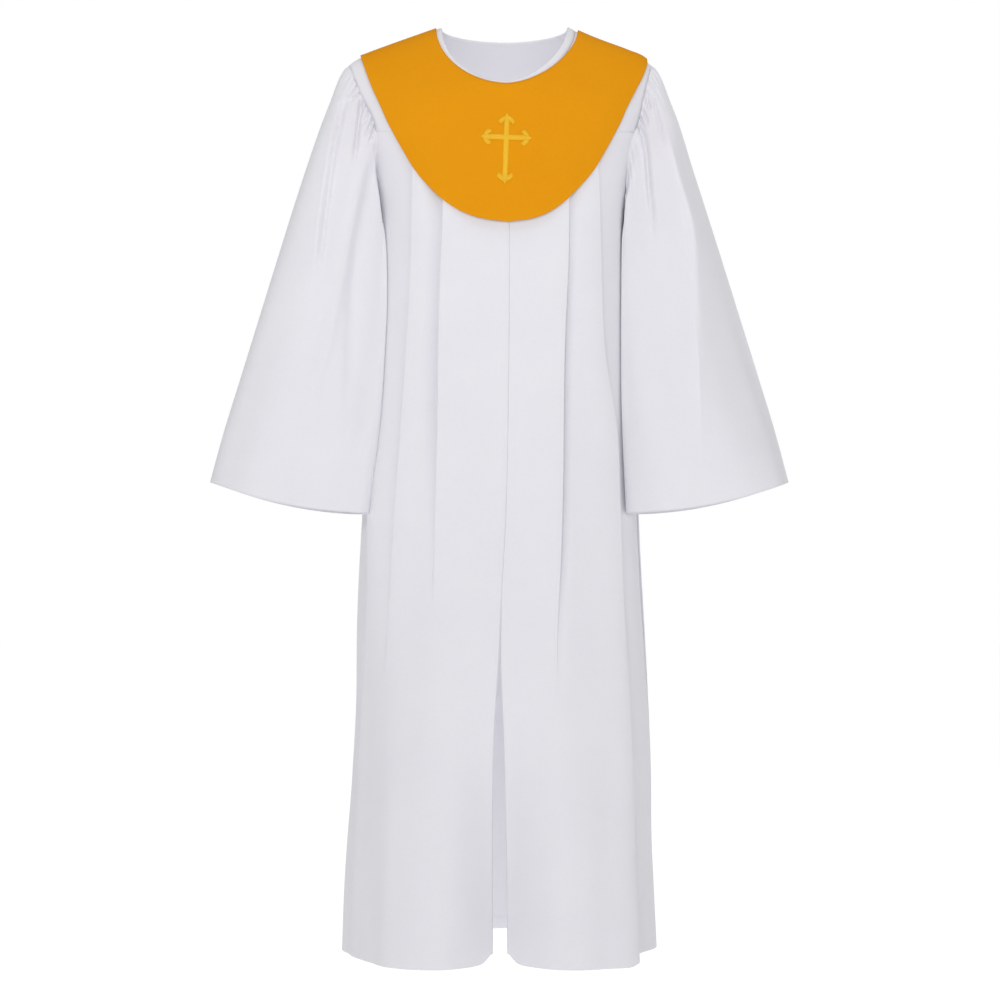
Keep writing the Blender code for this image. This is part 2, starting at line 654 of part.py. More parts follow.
def build():
    for piece in list(bpy.data.objects):
        bpy.data.objects.remove(piece)
    levels = [YOKE_SEAM, 0.165, 0.205, UNDERARM, 0.310, 0.420, 0.540, 0.660, 0.770, SLIT_TOP, 0.950, 1.050, 1.160,
              1.250, 1.280, HEM]
    for name, side in (("front_left", LEFT), ("front_right", RIGHT)):
        grid = inset(panel_grid(FRONT, side, levels), ("first_row", "first_column", "last_column"))
        wall(name, grid)
    back = both_sides(lambda side: panel_grid(BACK, side, levels))
    wall("back", inset(back, ("first_row", "first_column", "last_column")))
    shares = np.array([0.0, 0.2, 0.45, 0.7, 0.9, 1.0])
    for name, side in (("yoke_front_left", LEFT), ("yoke_front_right", RIGHT)):
        grid = yoke_grid(FRONT, side, shares)
        wall(name, inset(grid, ("last_row", "first_column", "last_column")), crest=(-1,))
    yoke = both_sides(lambda side: yoke_grid(BACK, side, shares))
    wall("yoke_back", inset(yoke, ("last_row", "first_column", "last_column")), crest=(0, -1))
    alongs = [0.0, 0.02, 0.06, 0.13, 0.25, 0.42, 0.62, 0.82, 1.0]
    for name, side in (("sleeve_left", LEFT), ("sleeve_right", RIGHT)):
        wall(name, sleeve_grid(side, alongs, sleeve_turns()), ring=True)
    closed_band("neck_binding", binding_grid())
    for name, face in (("collar_front", FRONT), ("collar_back", BACK)):
        grid = both_sides(lambda side: collar_grid(face, side, np.linspace(0.0, 1.0, 8)))
        grid = raise_off(grid, collar_lift(-grid[:, :, 2:]))
        wall(name, inset(grid, ("first_column", "last_column")), crest=(0, -1))
    cross_solid(collar_lift)


build()
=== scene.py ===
"""Looks of the clergy robe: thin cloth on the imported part's form, its materials, camera and light.

Metres, +Z up, the front faces -Y, left and right are the viewer's. A level is a distance below the shoulder
points, across is a distance along X, a girth is a distance round the body from its middle.
"""

import bpy
import numpy as np
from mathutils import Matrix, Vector


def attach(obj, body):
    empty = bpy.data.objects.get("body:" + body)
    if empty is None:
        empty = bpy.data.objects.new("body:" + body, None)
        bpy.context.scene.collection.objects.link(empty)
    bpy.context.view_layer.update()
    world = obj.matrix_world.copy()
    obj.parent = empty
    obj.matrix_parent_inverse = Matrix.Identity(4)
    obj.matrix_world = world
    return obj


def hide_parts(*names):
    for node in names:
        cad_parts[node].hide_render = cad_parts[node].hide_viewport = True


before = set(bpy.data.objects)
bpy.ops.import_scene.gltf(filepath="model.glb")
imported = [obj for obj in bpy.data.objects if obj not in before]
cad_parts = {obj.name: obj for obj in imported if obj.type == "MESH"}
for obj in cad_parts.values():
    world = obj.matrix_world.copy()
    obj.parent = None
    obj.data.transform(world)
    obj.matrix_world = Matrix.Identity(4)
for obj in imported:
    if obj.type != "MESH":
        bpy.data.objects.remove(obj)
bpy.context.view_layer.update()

FRONT = -1
BACK = 1
LEFT = -1
RIGHT = 1

# camera: metres for a photo pixel in the shoulder plane, distance from it, height
PIXEL = 0.00143
PHOTO_WIDTH = 1000
SENSOR = 36.0
CAMERA_DISTANCE = 4.55
CAMERA_HEIGHT = -0.6535

# surroundings: a white band round the horizon, a dim dome over it and a pale floor that glows
BAND_TOP = 0.17
BAND_FADE = 0.15
DOME_LIGHT = 0.30
FLOOR = -1.47
FLOOR_REACH = 14.0
FLOOR_SIDES = 64
FLOOR_GREY = 0.20
FLOOR_GLOW = 0.90

# lamp, place, aim, width, height, power; the last two light the robe's inside at the slit and the neck
LAMPS = (
    ("key", (-0.3, -4.6, 0.7), (0.0, 0.0, -0.6), 1.0, 1.0, 48.0),
    ("top", (0.0, -0.9, 2.2), (0.0, 0.0, 0.0), 1.6, 1.6, 21.0),
    ("back_key", (1.6, 4.4, 1.4), (0.0, 0.0, -0.6), 1.8, 1.8, 50.0),
    ("inside", (0.0, -0.080, -0.66), (0.0, 1.0, -0.66), 0.18, 1.16, 0.66),
    ("neck", (0.01, -0.072, -0.088), (0.01, 0.12, 0.0), 0.13, 0.05, 0.033),
)

# levels of the seams and the hem, the height of the shoulder's cap, the body's middle, the armpit
YOKE_SEAM = 0.135
UNDERARM = 0.250
HEM = 1.294
CAP = {FRONT: 0.130, BACK: 0.105}
BODY_MIDDLE = (0.0, 0.0, -0.3)
ARMPIT_ACROSS = 0.179

# walls: cloth, what a turned-up hem adds over its height, the collar's cloth
CLOTH = 0.0010
HEM_EXTRA = 0.0014
HEM_HEIGHT = 0.018
COLLAR_CLOTH = 0.0016

# neck edge of the robe and of the collar: middle across, half width, level of its middle
NECK_EDGE = {FRONT: (0.0064, 0.0908, 0.0685), BACK: (0.0064, 0.0908, -0.0090)}
COLLAR_NECK_EDGE = {FRONT: (0.0100, 0.1002, 0.0700), BACK: (0.0100, 0.1002, -0.0085)}

# where the yoke seam meets the armhole, as a share of a yoke's outer edge
YOKE_CORNER = 0.62

# folds: share of the depth above the smooth cloth, how much the foot tucks back, reach and depth of the lean
CREST_SHARE = 0.55
TUCK_SHARE = 0.6
LEAN_REACH = 0.008
FULL_LEAN_DEPTH = 0.010
SLIT_VALLEY_WIDTH = 0.050
FRONT_SWELL = 0.022
BACK_SWEEP = 0.016

# centre front: how far both fronts run past the centre line, the left one's fly and how flat its edge is
LAP = 0.0010
FLY_HEIGHT = 0.0008
FLY_EDGE = 0.86

# rise of the hem at the left side, at the right side and at the corners of the slit
LEFT_RISE = 0.0036
RIGHT_RISE = 0.004
SLIT_RISE = 0.013

# sleeves: drop of the cuff behind, squareness at the body, flatness of the right one's outer side, slope beside
# the inner fold
CUFF_DROP = 0.0045
INNER_SQUARENESS = 3.5
OUTER_FLATNESS = 0.88
HUG_SLOPE = 0.38

# the cross on the collar: its middle across, its level, its tilt
CROSS_ACROSS = 0.0088
CROSS_LEVEL = 0.1475
CROSS_TILT = -2.0

# columns of BODY and of SLEEVE
HALF_WIDTH, FRONT_DEPTH, BACK_DEPTH, SQUARENESS = range(1, 5)
OUTER_ACROSS, OUTER_LEVEL, INNER_LEVEL, HALF_DEPTH, MIDDLE, RING_SQUARENESS, BEND = range(1, 8)

# level, half width, front depth, back depth, squareness of the section
BODY = (
    (-0.060, 0.250, 0.062, 0.080, 2.4), (0.030, 0.238, 0.078, 0.090, 2.4),
    (0.080, 0.222, 0.093, 0.098, 2.4), (0.140, 0.204, 0.108, 0.104, 2.4),
    (0.200, 0.188, 0.120, 0.108, 2.4), (0.250, 0.179, 0.126, 0.110, 2.4),
    (0.370, 0.183, 0.132, 0.113, 2.3), (0.500, 0.190, 0.138, 0.118, 2.3),
    (0.670, 0.198, 0.150, 0.130, 2.3), (0.800, 0.204, 0.164, 0.146, 2.2),
    (0.900, 0.207, 0.176, 0.158, 2.2), (1.100, 0.216, 0.198, 0.180, 2.2),
    (1.294, 0.224, 0.220, 0.200, 2.2),
)

# across, level of the shoulder line, which runs on as a hidden crown over the neck hole
SHOULDER = (
    (-0.24, 0.055), (-0.2165, 0.033), (-0.205, 0.0245), (-0.188, 0.0175), (-0.154, 0.005),
    (-0.106, -0.012), (-0.086, -0.019), (0.009, -0.052), (0.105, -0.017), (0.136, -0.004),
    (0.183, 0.0135), (0.205, 0.023), (0.2165, 0.033), (0.24, 0.055),
)

# level, across of the armhole's edge on the left, on the right
ARMHOLE = (
    (0.033, 0.2165, 0.2165), (0.077, 0.199, 0.2055), (0.1, 0.187, 0.201), (0.118, 0.1785, 0.1965),
    (0.14, 0.1748, 0.1885), (0.2, 0.175, 0.18), (0.25, 0.179, 0.179),
)

# level, across of the line where the two fronts meet
CENTRE_LINE = (
    (0.06, 0.0095), (0.265, 0.0126), (0.512, 0.0112), (0.654, 0.0084), (0.738, 0.0042), (0.87, 0.0),
    (1.294, 0.0),
)

# level, how far each edge of the slit has moved off the centre line, how deep the valley at the slit is
SLIT = (
    (0.6, 0.0, 0.0), (0.8, 0.0, 0.006), (0.87, 0.0012, 0.009), (0.98, 0.0068, 0.023),
    (1.16, 0.0108, 0.052), (1.294, 0.012, 0.072),
)

# Each fold: the face, the side, its crest as (level, across, depth), how wide it rises and how wide it falls,
# the share of its depth that lies below the cloth beyond it, how wide that valley is, and its overhang
FOLDS = (
    (FRONT, LEFT,
     ((0.135, 0.068, 0.0), (0.18, 0.0725, 0.006), (0.3, 0.0775, 0.01), (0.416, 0.081, 0.012),
      (0.57, 0.083, 0.011), (0.68, 0.087, 0.006), (0.8, 0.092, 0.0), (1.294, 0.095, 0.0)),
     0.03, 0.0045, 0.75, 0.016, 0.003),
    (FRONT, LEFT,
     ((0.135, 0.117, 0.0), (0.18, 0.1185, 0.006), (0.3, 0.1195, 0.01), (0.416, 0.124, 0.012),
      (0.556, 0.133, 0.012), (0.654, 0.14, 0.011), (0.76, 0.148, 0.006), (0.9, 0.16, 0.0),
      (1.294, 0.185, 0.0)),
     0.026, 0.004, 0.4, 0.07, 0.0025),
    (FRONT, LEFT,
     ((0.135, 0.15, 0.0), (0.3, 0.158, 0.0), (0.52, 0.172, 0.008), (0.625, 0.1785, 0.021),
      (0.7, 0.1805, 0.019), (0.78, 0.184, 0.012), (0.852, 0.189, 0.006), (1.000, 0.2, 0.003),
      (1.294, 0.212, 0.0)),
     0.036, 0.007, 0.85, 0.06, 0.0),
    (FRONT, RIGHT,
     ((0.135, 0.092, 0.0), (0.18, 0.093, 0.004), (0.3, 0.092, 0.008), (0.416, 0.086, 0.012),
      (0.654, 0.082, 0.012), (0.738, 0.08, 0.009), (0.84, 0.077, 0.003), (0.93, 0.076, 0.0),
      (1.294, 0.076, 0.0)),
     0.03, 0.0045, 0.75, 0.008, 0.003),
    (FRONT, RIGHT,
     ((0.135, 0.132, 0.0), (0.18, 0.135, 0.005), (0.3, 0.1375, 0.009), (0.445, 0.142, 0.012),
      (0.556, 0.159, 0.013), (0.654, 0.163, 0.014), (0.793, 0.166, 0.017), (1.000, 0.17, 0.026),
      (1.21, 0.17, 0.036), (1.294, 0.168, 0.044)),
     0.034, 0.007, 0.5, 0.08, 0.0015),
    (BACK, LEFT,
     ((0.135, 0.04, 0.0), (0.25, 0.042, 0.007), (0.6, 0.05, 0.013), (1.000, 0.062, 0.01),
      (1.294, 0.07, 0.012)),
     0.026, 0.0045, 0.55, 0.016, 0.0025),
    (BACK, LEFT,
     ((0.135, 0.105, 0.0), (0.25, 0.108, 0.006), (0.6, 0.122, 0.012), (1.000, 0.14, 0.014),
      (1.294, 0.152, 0.022)),
     0.028, 0.005, 0.45, 0.05, 0.0025),
    (BACK, RIGHT,
     ((0.135, 0.044, 0.0), (0.25, 0.046, 0.007), (0.6, 0.056, 0.013), (1.000, 0.07, 0.012),
      (1.294, 0.08, 0.018)),
     0.026, 0.0045, 0.6, 0.014, 0.003),
    (BACK, RIGHT,
     ((0.135, 0.108, 0.0), (0.25, 0.112, 0.006), (0.6, 0.128, 0.012), (1.000, 0.146, 0.012),
      (1.294, 0.158, 0.018)),
     0.028, 0.005, 0.45, 0.05, 0.0025),
)

# level, how far the side's edge moves out on the left, on the right
SIDE_TRIM = (
    (0.25, 0.0, 0.0), (0.6, 0.001, 0.0), (0.68, 0.0013, -0.0008),
    (0.8, 0.0, 0.0), (0.85, -0.0008, 0.0014), (0.895, -0.0023, 0.0024),
    (0.938, -0.0037, 0.0027), (0.98, -0.004, 0.0024), (1.02, -0.004, 0.0014),
    (1.065, -0.0038, -0.0006), (1.107, -0.0026, -0.0029), (1.15, -0.0013, -0.0042),
    (1.19, -0.0005, -0.0044), (1.294, -0.001, -0.0046),
)

# soft waves of hanging cloth: length round the body, phase, bend with the level, share
WAVES = (
    (0.083, 2.1, -2.5, 0.55), (0.131, 4.0, 1.6, 0.8), (0.047, 0.6, 4.0, 0.18), (0.205, 1.2, -1.1, 0.9),
)

# Rings of a sleeve: the share of its length, outer across, outer level, inner level, half depth, middle in Y,
# squareness, bend of the ring from its inner to its outer end
SLEEVE = (
    (0.00, 0.2165, 0.0330, 0.250, 0.066, 0.000, 2.0, 1.0),
    (0.03, 0.2242, 0.0430, 0.255, 0.067, 0.000, 2.0, 1.0),
    (0.06, 0.2310, 0.0560, 0.262, 0.071, -0.001, 2.1, 1.0),
    (0.12, 0.2440, 0.0900, 0.290, 0.080, -0.005, 2.4, 1.0),
    (0.20, 0.2560, 0.1244, 0.330, 0.087, -0.009, 2.8, 1.0),
    (0.34, 0.2845, 0.2102, 0.400, 0.092, -0.012, 3.0, 1.1),
    (0.48, 0.3118, 0.2960, 0.460, 0.093, -0.012, 3.0, 1.2),
    (0.61, 0.3385, 0.3818, 0.515, 0.093, -0.012, 2.9, 1.3),
    (0.74, 0.3652, 0.4676, 0.570, 0.092, -0.011, 2.8, 1.5),
    (0.88, 0.3920, 0.5540, 0.625, 0.091, -0.010, 2.7, 1.8),
    (1.00, 0.4118, 0.6260, 0.671, 0.090, -0.010, 2.6, 2.1),
)

# level, across of each sleeve's inner fold, which lies on the body, on the left, on the right
INNER_FOLD = (
    (0.131, 0.1717, 0.1872), (0.148, 0.1703, 0.1824), (0.183, 0.1657, 0.1763), (0.233, 0.1622, 0.1735),
    (0.303, 0.1587, 0.1716), (0.373, 0.1573, 0.1705), (0.443, 0.1597, 0.1698), (0.513, 0.1629, 0.1693),
    (0.583, 0.1678, 0.17), (0.671, 0.1772, 0.1723),
)

# level, across of the long fold down the right sleeve's front, how far the cloth beyond it runs flat
OUTER_EDGE = (
    (0.105, 0.232, 0.0), (0.15, 0.2385, 0.5), (0.185, 0.244, 0.9), (0.241, 0.2545, 1.0),
    (0.29, 0.26, 1.0), (0.335, 0.265, 1.0), (0.391, 0.27, 1.0), (0.437, 0.2745, 1.0),
    (0.493, 0.2785, 0.8), (0.56, 0.282, 0.5), (0.65, 0.288, 0.0),
)

# The large fold behind each sleeve: (along, turn round the sleeve in degrees, height, width in degrees)
SLEEVE_FOLDS = {
    LEFT: ((0.00, 260, 0.0, 10), (0.30, 262, 0.007, 13), (0.70, 268, 0.008, 16), (1.00, 275, 0.005, 18)),
    RIGHT: ((0.00, 268, 0.0, 10), (0.30, 270, -0.006, 12), (0.70, 274, -0.007, 14), (1.00, 280, -0.003, 16)),
}

# Each crease on a sleeve's front: its height (negative in a trough), the widths of its inner and outer side,
# and its line as (level, across, share of the height)
SLEEVE_CREASES = {LEFT: (
    (-0.0056, 0.0042, 0.0052,
     ((0.084, 0.2182, 0), (0.094, 0.2205, 0.7), (0.108, 0.2238, 1), (0.164, 0.2336, 1), (0.22, 0.2406, 1),
      (0.276, 0.2475, 0.9), (0.321, 0.2531, 0.5), (0.346, 0.2573, 0))),
    (0.0026, 0.006, 0.008,
     ((0.094, 0.228, 0), (0.122, 0.2322, 0.8), (0.192, 0.242, 1), (0.269, 0.2517, 1),
      (0.321, 0.2573, 0.7), (0.37, 0.2625, 0))),
    (-0.0085, 0.003, 0.0026,
     ((0.084, 0.1965, 0), (0.093, 0.1972, 1), (0.122, 0.2, 1), (0.157, 0.2028, 0.8), (0.185, 0.2056, 0))),
    (0.005, 0.008, 0.012,
     ((0.15, 0.1832, 0), (0.185, 0.1902, 0.7), (0.227, 0.1986, 1), (0.269, 0.2084, 1), (0.321, 0.2168, 1),
      (0.374, 0.2266, 0.9), (0.43, 0.2378, 0.7), (0.486, 0.2545, 0.5), (0.56, 0.2727, 0.2))),
    (-0.0042, 0.013, 0.0065,
     ((0.164, 0.179, 0), (0.199, 0.186, 0.7), (0.241, 0.193, 1), (0.29, 0.2014, 1),
      (0.346, 0.207, 0.9), (0.402, 0.2098, 0.9), (0.458, 0.2112, 0.7), (0.514, 0.214, 0.4),
      (0.556, 0.2168, 0))),
    (-0.0028, 0.0022, 0.0022,
     ((0.048, 0.2013, 0), (0.054, 0.2056, 1), (0.061, 0.2112, 1), (0.071, 0.2168, 0))),
    (-0.0034, 0.0022, 0.0022,
     ((0.061, 0.1981, 0), (0.066, 0.2037, 1), (0.073, 0.2093, 1), (0.085, 0.2149, 0))),
    (-0.004, 0.0022, 0.0022,
     ((0.072, 0.1953, 0), (0.078, 0.2009, 1), (0.083, 0.2079, 1), (0.094, 0.2135, 0))),
    (-0.0043, 0.002, 0.002,
     ((0.089, 0.1864, 0), (0.096, 0.1906, 1), (0.104, 0.1948, 1), (0.115, 0.1976, 0))),
    (-0.0043, 0.002, 0.002,
     ((0.097, 0.1822, 0), (0.104, 0.1864, 1), (0.114, 0.1892, 1), (0.126, 0.1934, 0))),
    (-0.005, 0.002, 0.002,
     ((0.107, 0.178, 0), (0.115, 0.1808, 1), (0.129, 0.185, 1), (0.146, 0.1906, 0))),
    (-0.0053, 0.002, 0.002,
     ((0.118, 0.1738, 0), (0.126, 0.1766, 1), (0.138, 0.1808, 1), (0.154, 0.185, 0))),
), RIGHT: (
    (-0.0081, 0.0036, 0.0036,
     ((0.116, 0.1958, 0), (0.128, 0.1986, 1), (0.139, 0.2028, 1), (0.164, 0.207, 1), (0.206, 0.2098, 0.9),
      (0.245, 0.214, 0.6), (0.29, 0.2168, 0))),
    (-0.0059, 0.0026, 0.0026,
     ((0.073, 0.214, 0), (0.084, 0.2168, 0.8), (0.101, 0.221, 1), (0.122, 0.2252, 1),
      (0.139, 0.2273, 0.6), (0.157, 0.228, 0))),
    (-0.004, 0.0022, 0.0022,
     ((0.066, 0.2042, 0), (0.077, 0.2084, 1), (0.09, 0.2112, 1), (0.105, 0.214, 0))),
    (0.0022, 0.016, 0.005,
     ((0.122, 0.2294, 0), (0.164, 0.2406, 0.7), (0.22, 0.2503, 1), (0.29, 0.2573, 1), (0.335, 0.2629, 1),
      (0.391, 0.2699, 1), (0.437, 0.2741, 0.8), (0.493, 0.2783, 0.4), (0.58, 0.2811, 0))),
    (-0.0028, 0.0022, 0.0022,
     ((0.048, 0.2098, 0), (0.057, 0.214, 1), (0.066, 0.2182, 1), (0.079, 0.2211, 0))),
    (-0.0037, 0.002, 0.002,
     ((0.078, 0.2037, 0), (0.086, 0.2079, 1), (0.1, 0.2121, 1), (0.117, 0.2135, 0))),
    (-0.0047, 0.002, 0.002,
     ((0.097, 0.2004, 0), (0.104, 0.2047, 1), (0.115, 0.2075, 1), (0.129, 0.2089, 0))),
    (-0.0053, 0.002, 0.002,
     ((0.107, 0.1962, 0), (0.114, 0.2004, 1), (0.122, 0.2032, 1), (0.135, 0.2047, 0))),
)}

# turn from the middle (0) to the shoulder (1), half across, level of the collar's outer edge
COLLAR_FRONT_EDGE = (
    (0.0, 0.0, 0.2675), (0.1, 0.032, 0.2632), (0.2, 0.0575, 0.254), (0.31, 0.0815, 0.237),
    (0.4, 0.099, 0.219), (0.52, 0.1205, 0.1925), (0.63, 0.1365, 0.1663), (0.72, 0.152, 0.1399),
    (0.84, 0.171, 0.105), (0.92, 0.187, 0.0693), (1.00, 0.2, 0.023),
)

COLLAR_BACK_EDGE = (
    (0.0, 0.0, 0.156), (0.15, 0.044, 0.153), (0.3, 0.086, 0.143), (0.45, 0.123, 0.126),
    (0.6, 0.152, 0.103), (0.8, 0.182, 0.065), (1.00, 0.2, 0.023),
)

# turn from the middle (0) to the shoulder (1), how far the collar's outer edge moves out on the left, right
COLLAR_TRIM = (
    (0.0, 0.0, 0.0), (0.8, 0.0, 0.0), (0.86, -0.0012, -0.0015),
    (0.92, -0.0005, 0.0), (0.955, 0.0012, 0.0035), (0.975, 0.0024, 0.0048),
    (0.99, 0.0034, 0.0042), (1.000, 0.004, 0.0024),
)

# Each cut piece of cloth: the width and length that its flat cut needs, its area, how it is held, its finish
CUTS = {
    "front_panel_left": ((0.44, 1.20), 0.365, "hung", "robe_cloth"),
    "front_panel_right": ((0.44, 1.20), 0.365, "hung", "robe_cloth"),
    "back_panel": ((0.86, 1.20), 0.695, "hung", "robe_cloth"),
    "front_yoke_left": ((0.22, 0.20), 0.029, "hung", "robe_cloth"),
    "front_yoke_right": ((0.22, 0.20), 0.029, "hung", "robe_cloth"),
    "back_yoke": ((0.44, 0.20), 0.071, "hung", "robe_cloth"),
    "bell_sleeve_left": ((0.72, 0.66), 0.330, "gathered", "robe_cloth"),
    "bell_sleeve_right": ((0.72, 0.66), 0.330, "gathered", "robe_cloth"),
    "neck_band": ((0.030, 0.56), 0.0145, "folded", "robe_cloth"),
    "gold_collar_front": ((0.43, 0.27), 0.081, "laid", "collar_cloth"),
    "gold_collar_back": ((0.43, 0.20), 0.066, "laid", "collar_cloth"),
}

# ring round the neck band's cloth: how far past the neck edge, how far off the body
NECK_SECTION = (
    (-0.0110, 0.0003), (-0.0108, 0.0007), (-0.0060, 0.0014), (-0.0020, 0.0018), (0.0000, 0.0018),
    (0.0010, 0.0012), (0.0014, 0.0004), (0.0014, -0.0006), (0.0008, -0.0016), (-0.0004, -0.0022),
    (-0.0040, -0.0020), (-0.0090, -0.0013), (-0.0092, -0.0005), (0.0000, -0.0004),
)

# each arm of the cross as its direction and its reach, and a hook's line as (back from the tip, off the arm)
CROSS_ARMS = (((0, 1), 0.0345), ((1, 0), 0.0362), ((0, -1), 0.0665), ((-1, 0), 0.0362))
CROSS_HOOK = ((0.0045, 0.0), (0.0082, 0.0048), (0.0118, 0.0082), (0.0152, 0.0090))


def gather_table(seed):
    """Gathers of a sleeve's head: place in degrees, size, reach along the sleeve, width, lean."""
    rng = np.random.default_rng(seed)
    rows = []
    place = -150.0
    while place < 150.0:
        strong = rng.random() < 0.3
        rows.append((place, (0.0030 if strong else 0.0017) * rng.uniform(0.7, 1.2),
                     rng.uniform(0.20, 0.34) if strong else rng.uniform(0.06, 0.14),
                     rng.uniform(2.2, 3.4), rng.uniform(-25.0, 25.0)))
        place += rng.uniform(6.5, 10.5)
    return rows


GATHERS = {LEFT: gather_table(3), RIGHT: gather_table(8)}


def curve(rows, column, at):
    """A smooth line through one column of a table, read at places of its first column."""
    table = np.array([[row[0], row[column]] for row in rows], dtype=float)
    xs = table[:, 0]
    ys = table[:, 1]
    slopes = np.gradient(ys, xs)
    at = np.clip(np.asarray(at, dtype=float), xs[0], xs[-1])
    i = np.clip(np.searchsorted(xs, at) - 1, 0, len(xs) - 2)
    step = xs[i + 1] - xs[i]
    t = (at - xs[i]) / step
    start = (1 + 2 * t) * (1 - t) ** 2 * ys[i] + t * (1 - t) ** 2 * step * slopes[i]
    end = t * t * (3 - 2 * t) * ys[i + 1] + t * t * (t - 1) * step * slopes[i + 1]
    return start + end


def side_curve(rows, side, at):
    """Reads a table whose second column is for the left and whose third is for the right."""
    return curve(rows, 1 if side == LEFT else 2, at)


def share_of(t):
    return np.clip(t, 0.0, 1.0)


def ease(t):
    """Smooth step from 0 to 1."""
    t = share_of(t)
    return t * t * (3 - 2 * t)


def between(at, start, end):
    """Smooth step that goes from 0 at start to 1 at end."""
    return ease((at - start) / (end - start))


def bell(off, width):
    """Bell curve: 1 in its middle."""
    return np.exp(-(off / width) ** 2)


def soft_max(a, b, width):
    """The greater of two values, with a soft change from one to the other."""
    return width * np.logaddexp(a / width, b / width)


def rounded(share, power):
    """Depth share of a rounded section: 1 in its middle, 0 at its end."""
    return (1 - share_of(share) ** power) ** (1 / power)


def unit(vectors):
    length = np.linalg.norm(vectors, axis=-1, keepdims=True)
    return vectors / np.maximum(length, 1e-12)


def body_depth(level, face):
    return curve(BODY, FRONT_DEPTH if face == FRONT else BACK_DEPTH, level)


def cap_share(across, level, face):
    """How much of its full depth the body has reached below the shoulder line."""
    fall = share_of((level - curve(SHOULDER, 1, across)) / CAP[face])
    return np.sqrt(1 - (1 - fall) ** 2)


def depth_at(across, level, face):
    """Y of the smooth body surface, seen from the front or the back."""
    section = rounded(np.abs(across) / curve(BODY, HALF_WIDTH, level), curve(BODY, SQUARENESS, level))
    return face * body_depth(level, face) * section * cap_share(across, level, face)


def lean_of(across, level, face):
    """How far round the shoulder's cap a place lies: 0 on the shoulder line, then downwards."""
    fall = np.maximum(level - curve(SHOULDER, 1, across), 0.0) / CAP[face]
    return np.where(fall < 1, np.arccos(1 - np.minimum(fall, 1.0)), np.pi / 2 + fall - 1)


def cap_points(across, lean, face):
    """Points of the body surface from their place across and their lean round the shoulder."""
    fall = np.where(lean < np.pi / 2, 1 - np.cos(np.minimum(lean, np.pi / 2)), 1 + lean - np.pi / 2)
    level = curve(SHOULDER, 1, across) + CAP[face] * fall
    return np.stack([across, depth_at(across, level, face), -level], axis=-1)


def cap_normal(grid, face):
    """Outward directions of the smooth body surface at points that lie on it."""
    across = grid[..., 0]
    lean = lean_of(across, -grid[..., 2], face)
    step = 0.002
    sideways = cap_points(across + step, lean, face) - cap_points(across - step, lean, face)
    down = cap_points(across, lean + 0.02, face) - cap_points(across, np.maximum(lean - 0.02, 0.0), face)
    normal = unit(np.cross(sideways, down))
    aim = normal[..., 1] * face + normal[..., 2]
    return normal * np.where(aim < 0, -1.0, 1.0)[..., None]


def section_line(level, face):
    """One half section of the body, left to right: girth from the middle, across, Y."""
    power = curve(BODY, SQUARENESS, level)
    turn = np.linspace(-np.pi / 2, np.pi / 2, 361)
    across = curve(BODY, HALF_WIDTH, level) * np.sign(turn) * np.abs(np.sin(turn)) ** (2 / power)
    section = np.abs(np.cos(turn)) ** (2 / power)
    y = face * body_depth(level, face) * section * cap_share(across, level, face)
    girth = np.concatenate([[0.0], np.cumsum(np.hypot(np.diff(across), np.diff(y)))])
    return girth - np.interp(0.0, across, girth), across, y


def wrinkles(girth, level, face):
    """Soft uneven waves of hanging cloth, nothing at the yoke and more towards the hem."""
    size = 0.0002 + 0.0009 * between(level, 0.20, 0.70) + 0.0011 * between(level, 0.75, 1.30)
    waves = np.zeros_like(girth)
    for length, phase, bend, share in WAVES:
        waves += share * np.sin(2 * np.pi * girth / length + phase * face + bend * level)
    return size * waves


def fold_lift(girth, level, face, line):
    """How far the cloth stands off the smooth section, and how far it shifts sideways."""
    lift = np.zeros_like(girth)
    shift = np.zeros_like(girth)
    for fold_face, side, crest, rise, drop, below, valley, overhang in FOLDS:
        if fold_face != face:
            continue
        place = np.interp(side * curve(crest, 1, level), line[1], line[0])
        depth = max(curve(crest, 2, level), 0.0)
        off = (girth - place) * side
        fall = ease(off / drop)
        before = CREST_SHARE * bell(np.minimum(off, 0.0), rise) - (CREST_SHARE + below) * fall
        after = -below * bell(np.maximum(off - drop, 0.0), valley)
        lift += depth * np.where(off < drop, before, after)
        lean = np.where(off < 0, bell(off, LEAN_REACH), 1 - (1 + TUCK_SHARE) * fall)
        lean = np.where(off > drop, -TUCK_SHARE * bell(off - drop, LEAN_REACH), lean)
        shift += side * overhang * min(depth / FULL_LEAN_DEPTH, 1.0) * lean
    if face == FRONT:
        centre = curve(CENTRE_LINE, 1, level)
        lift -= curve(SLIT, 2, level) * bell(girth - centre, SLIT_VALLEY_WIDTH)
        lift += FRONT_SWELL * between(level, 0.8, 1.3) * bell(np.abs(girth) - 0.130, 0.055)
    else:
        lift += BACK_SWEEP * between(level, 0.5, 1.3) * np.cos(girth / 0.062) * bell(girth, 0.16)
    return lift, shift


def lap_share(level):
    """How far the left front still laps over the right one: fully down to the slit."""
    return float(1 - between(level, 0.72, 0.80))


def line_points(line, girths):
    return np.stack([np.interp(girths, line[0], line[1]), np.interp(girths, line[0], line[2])], axis=-1)


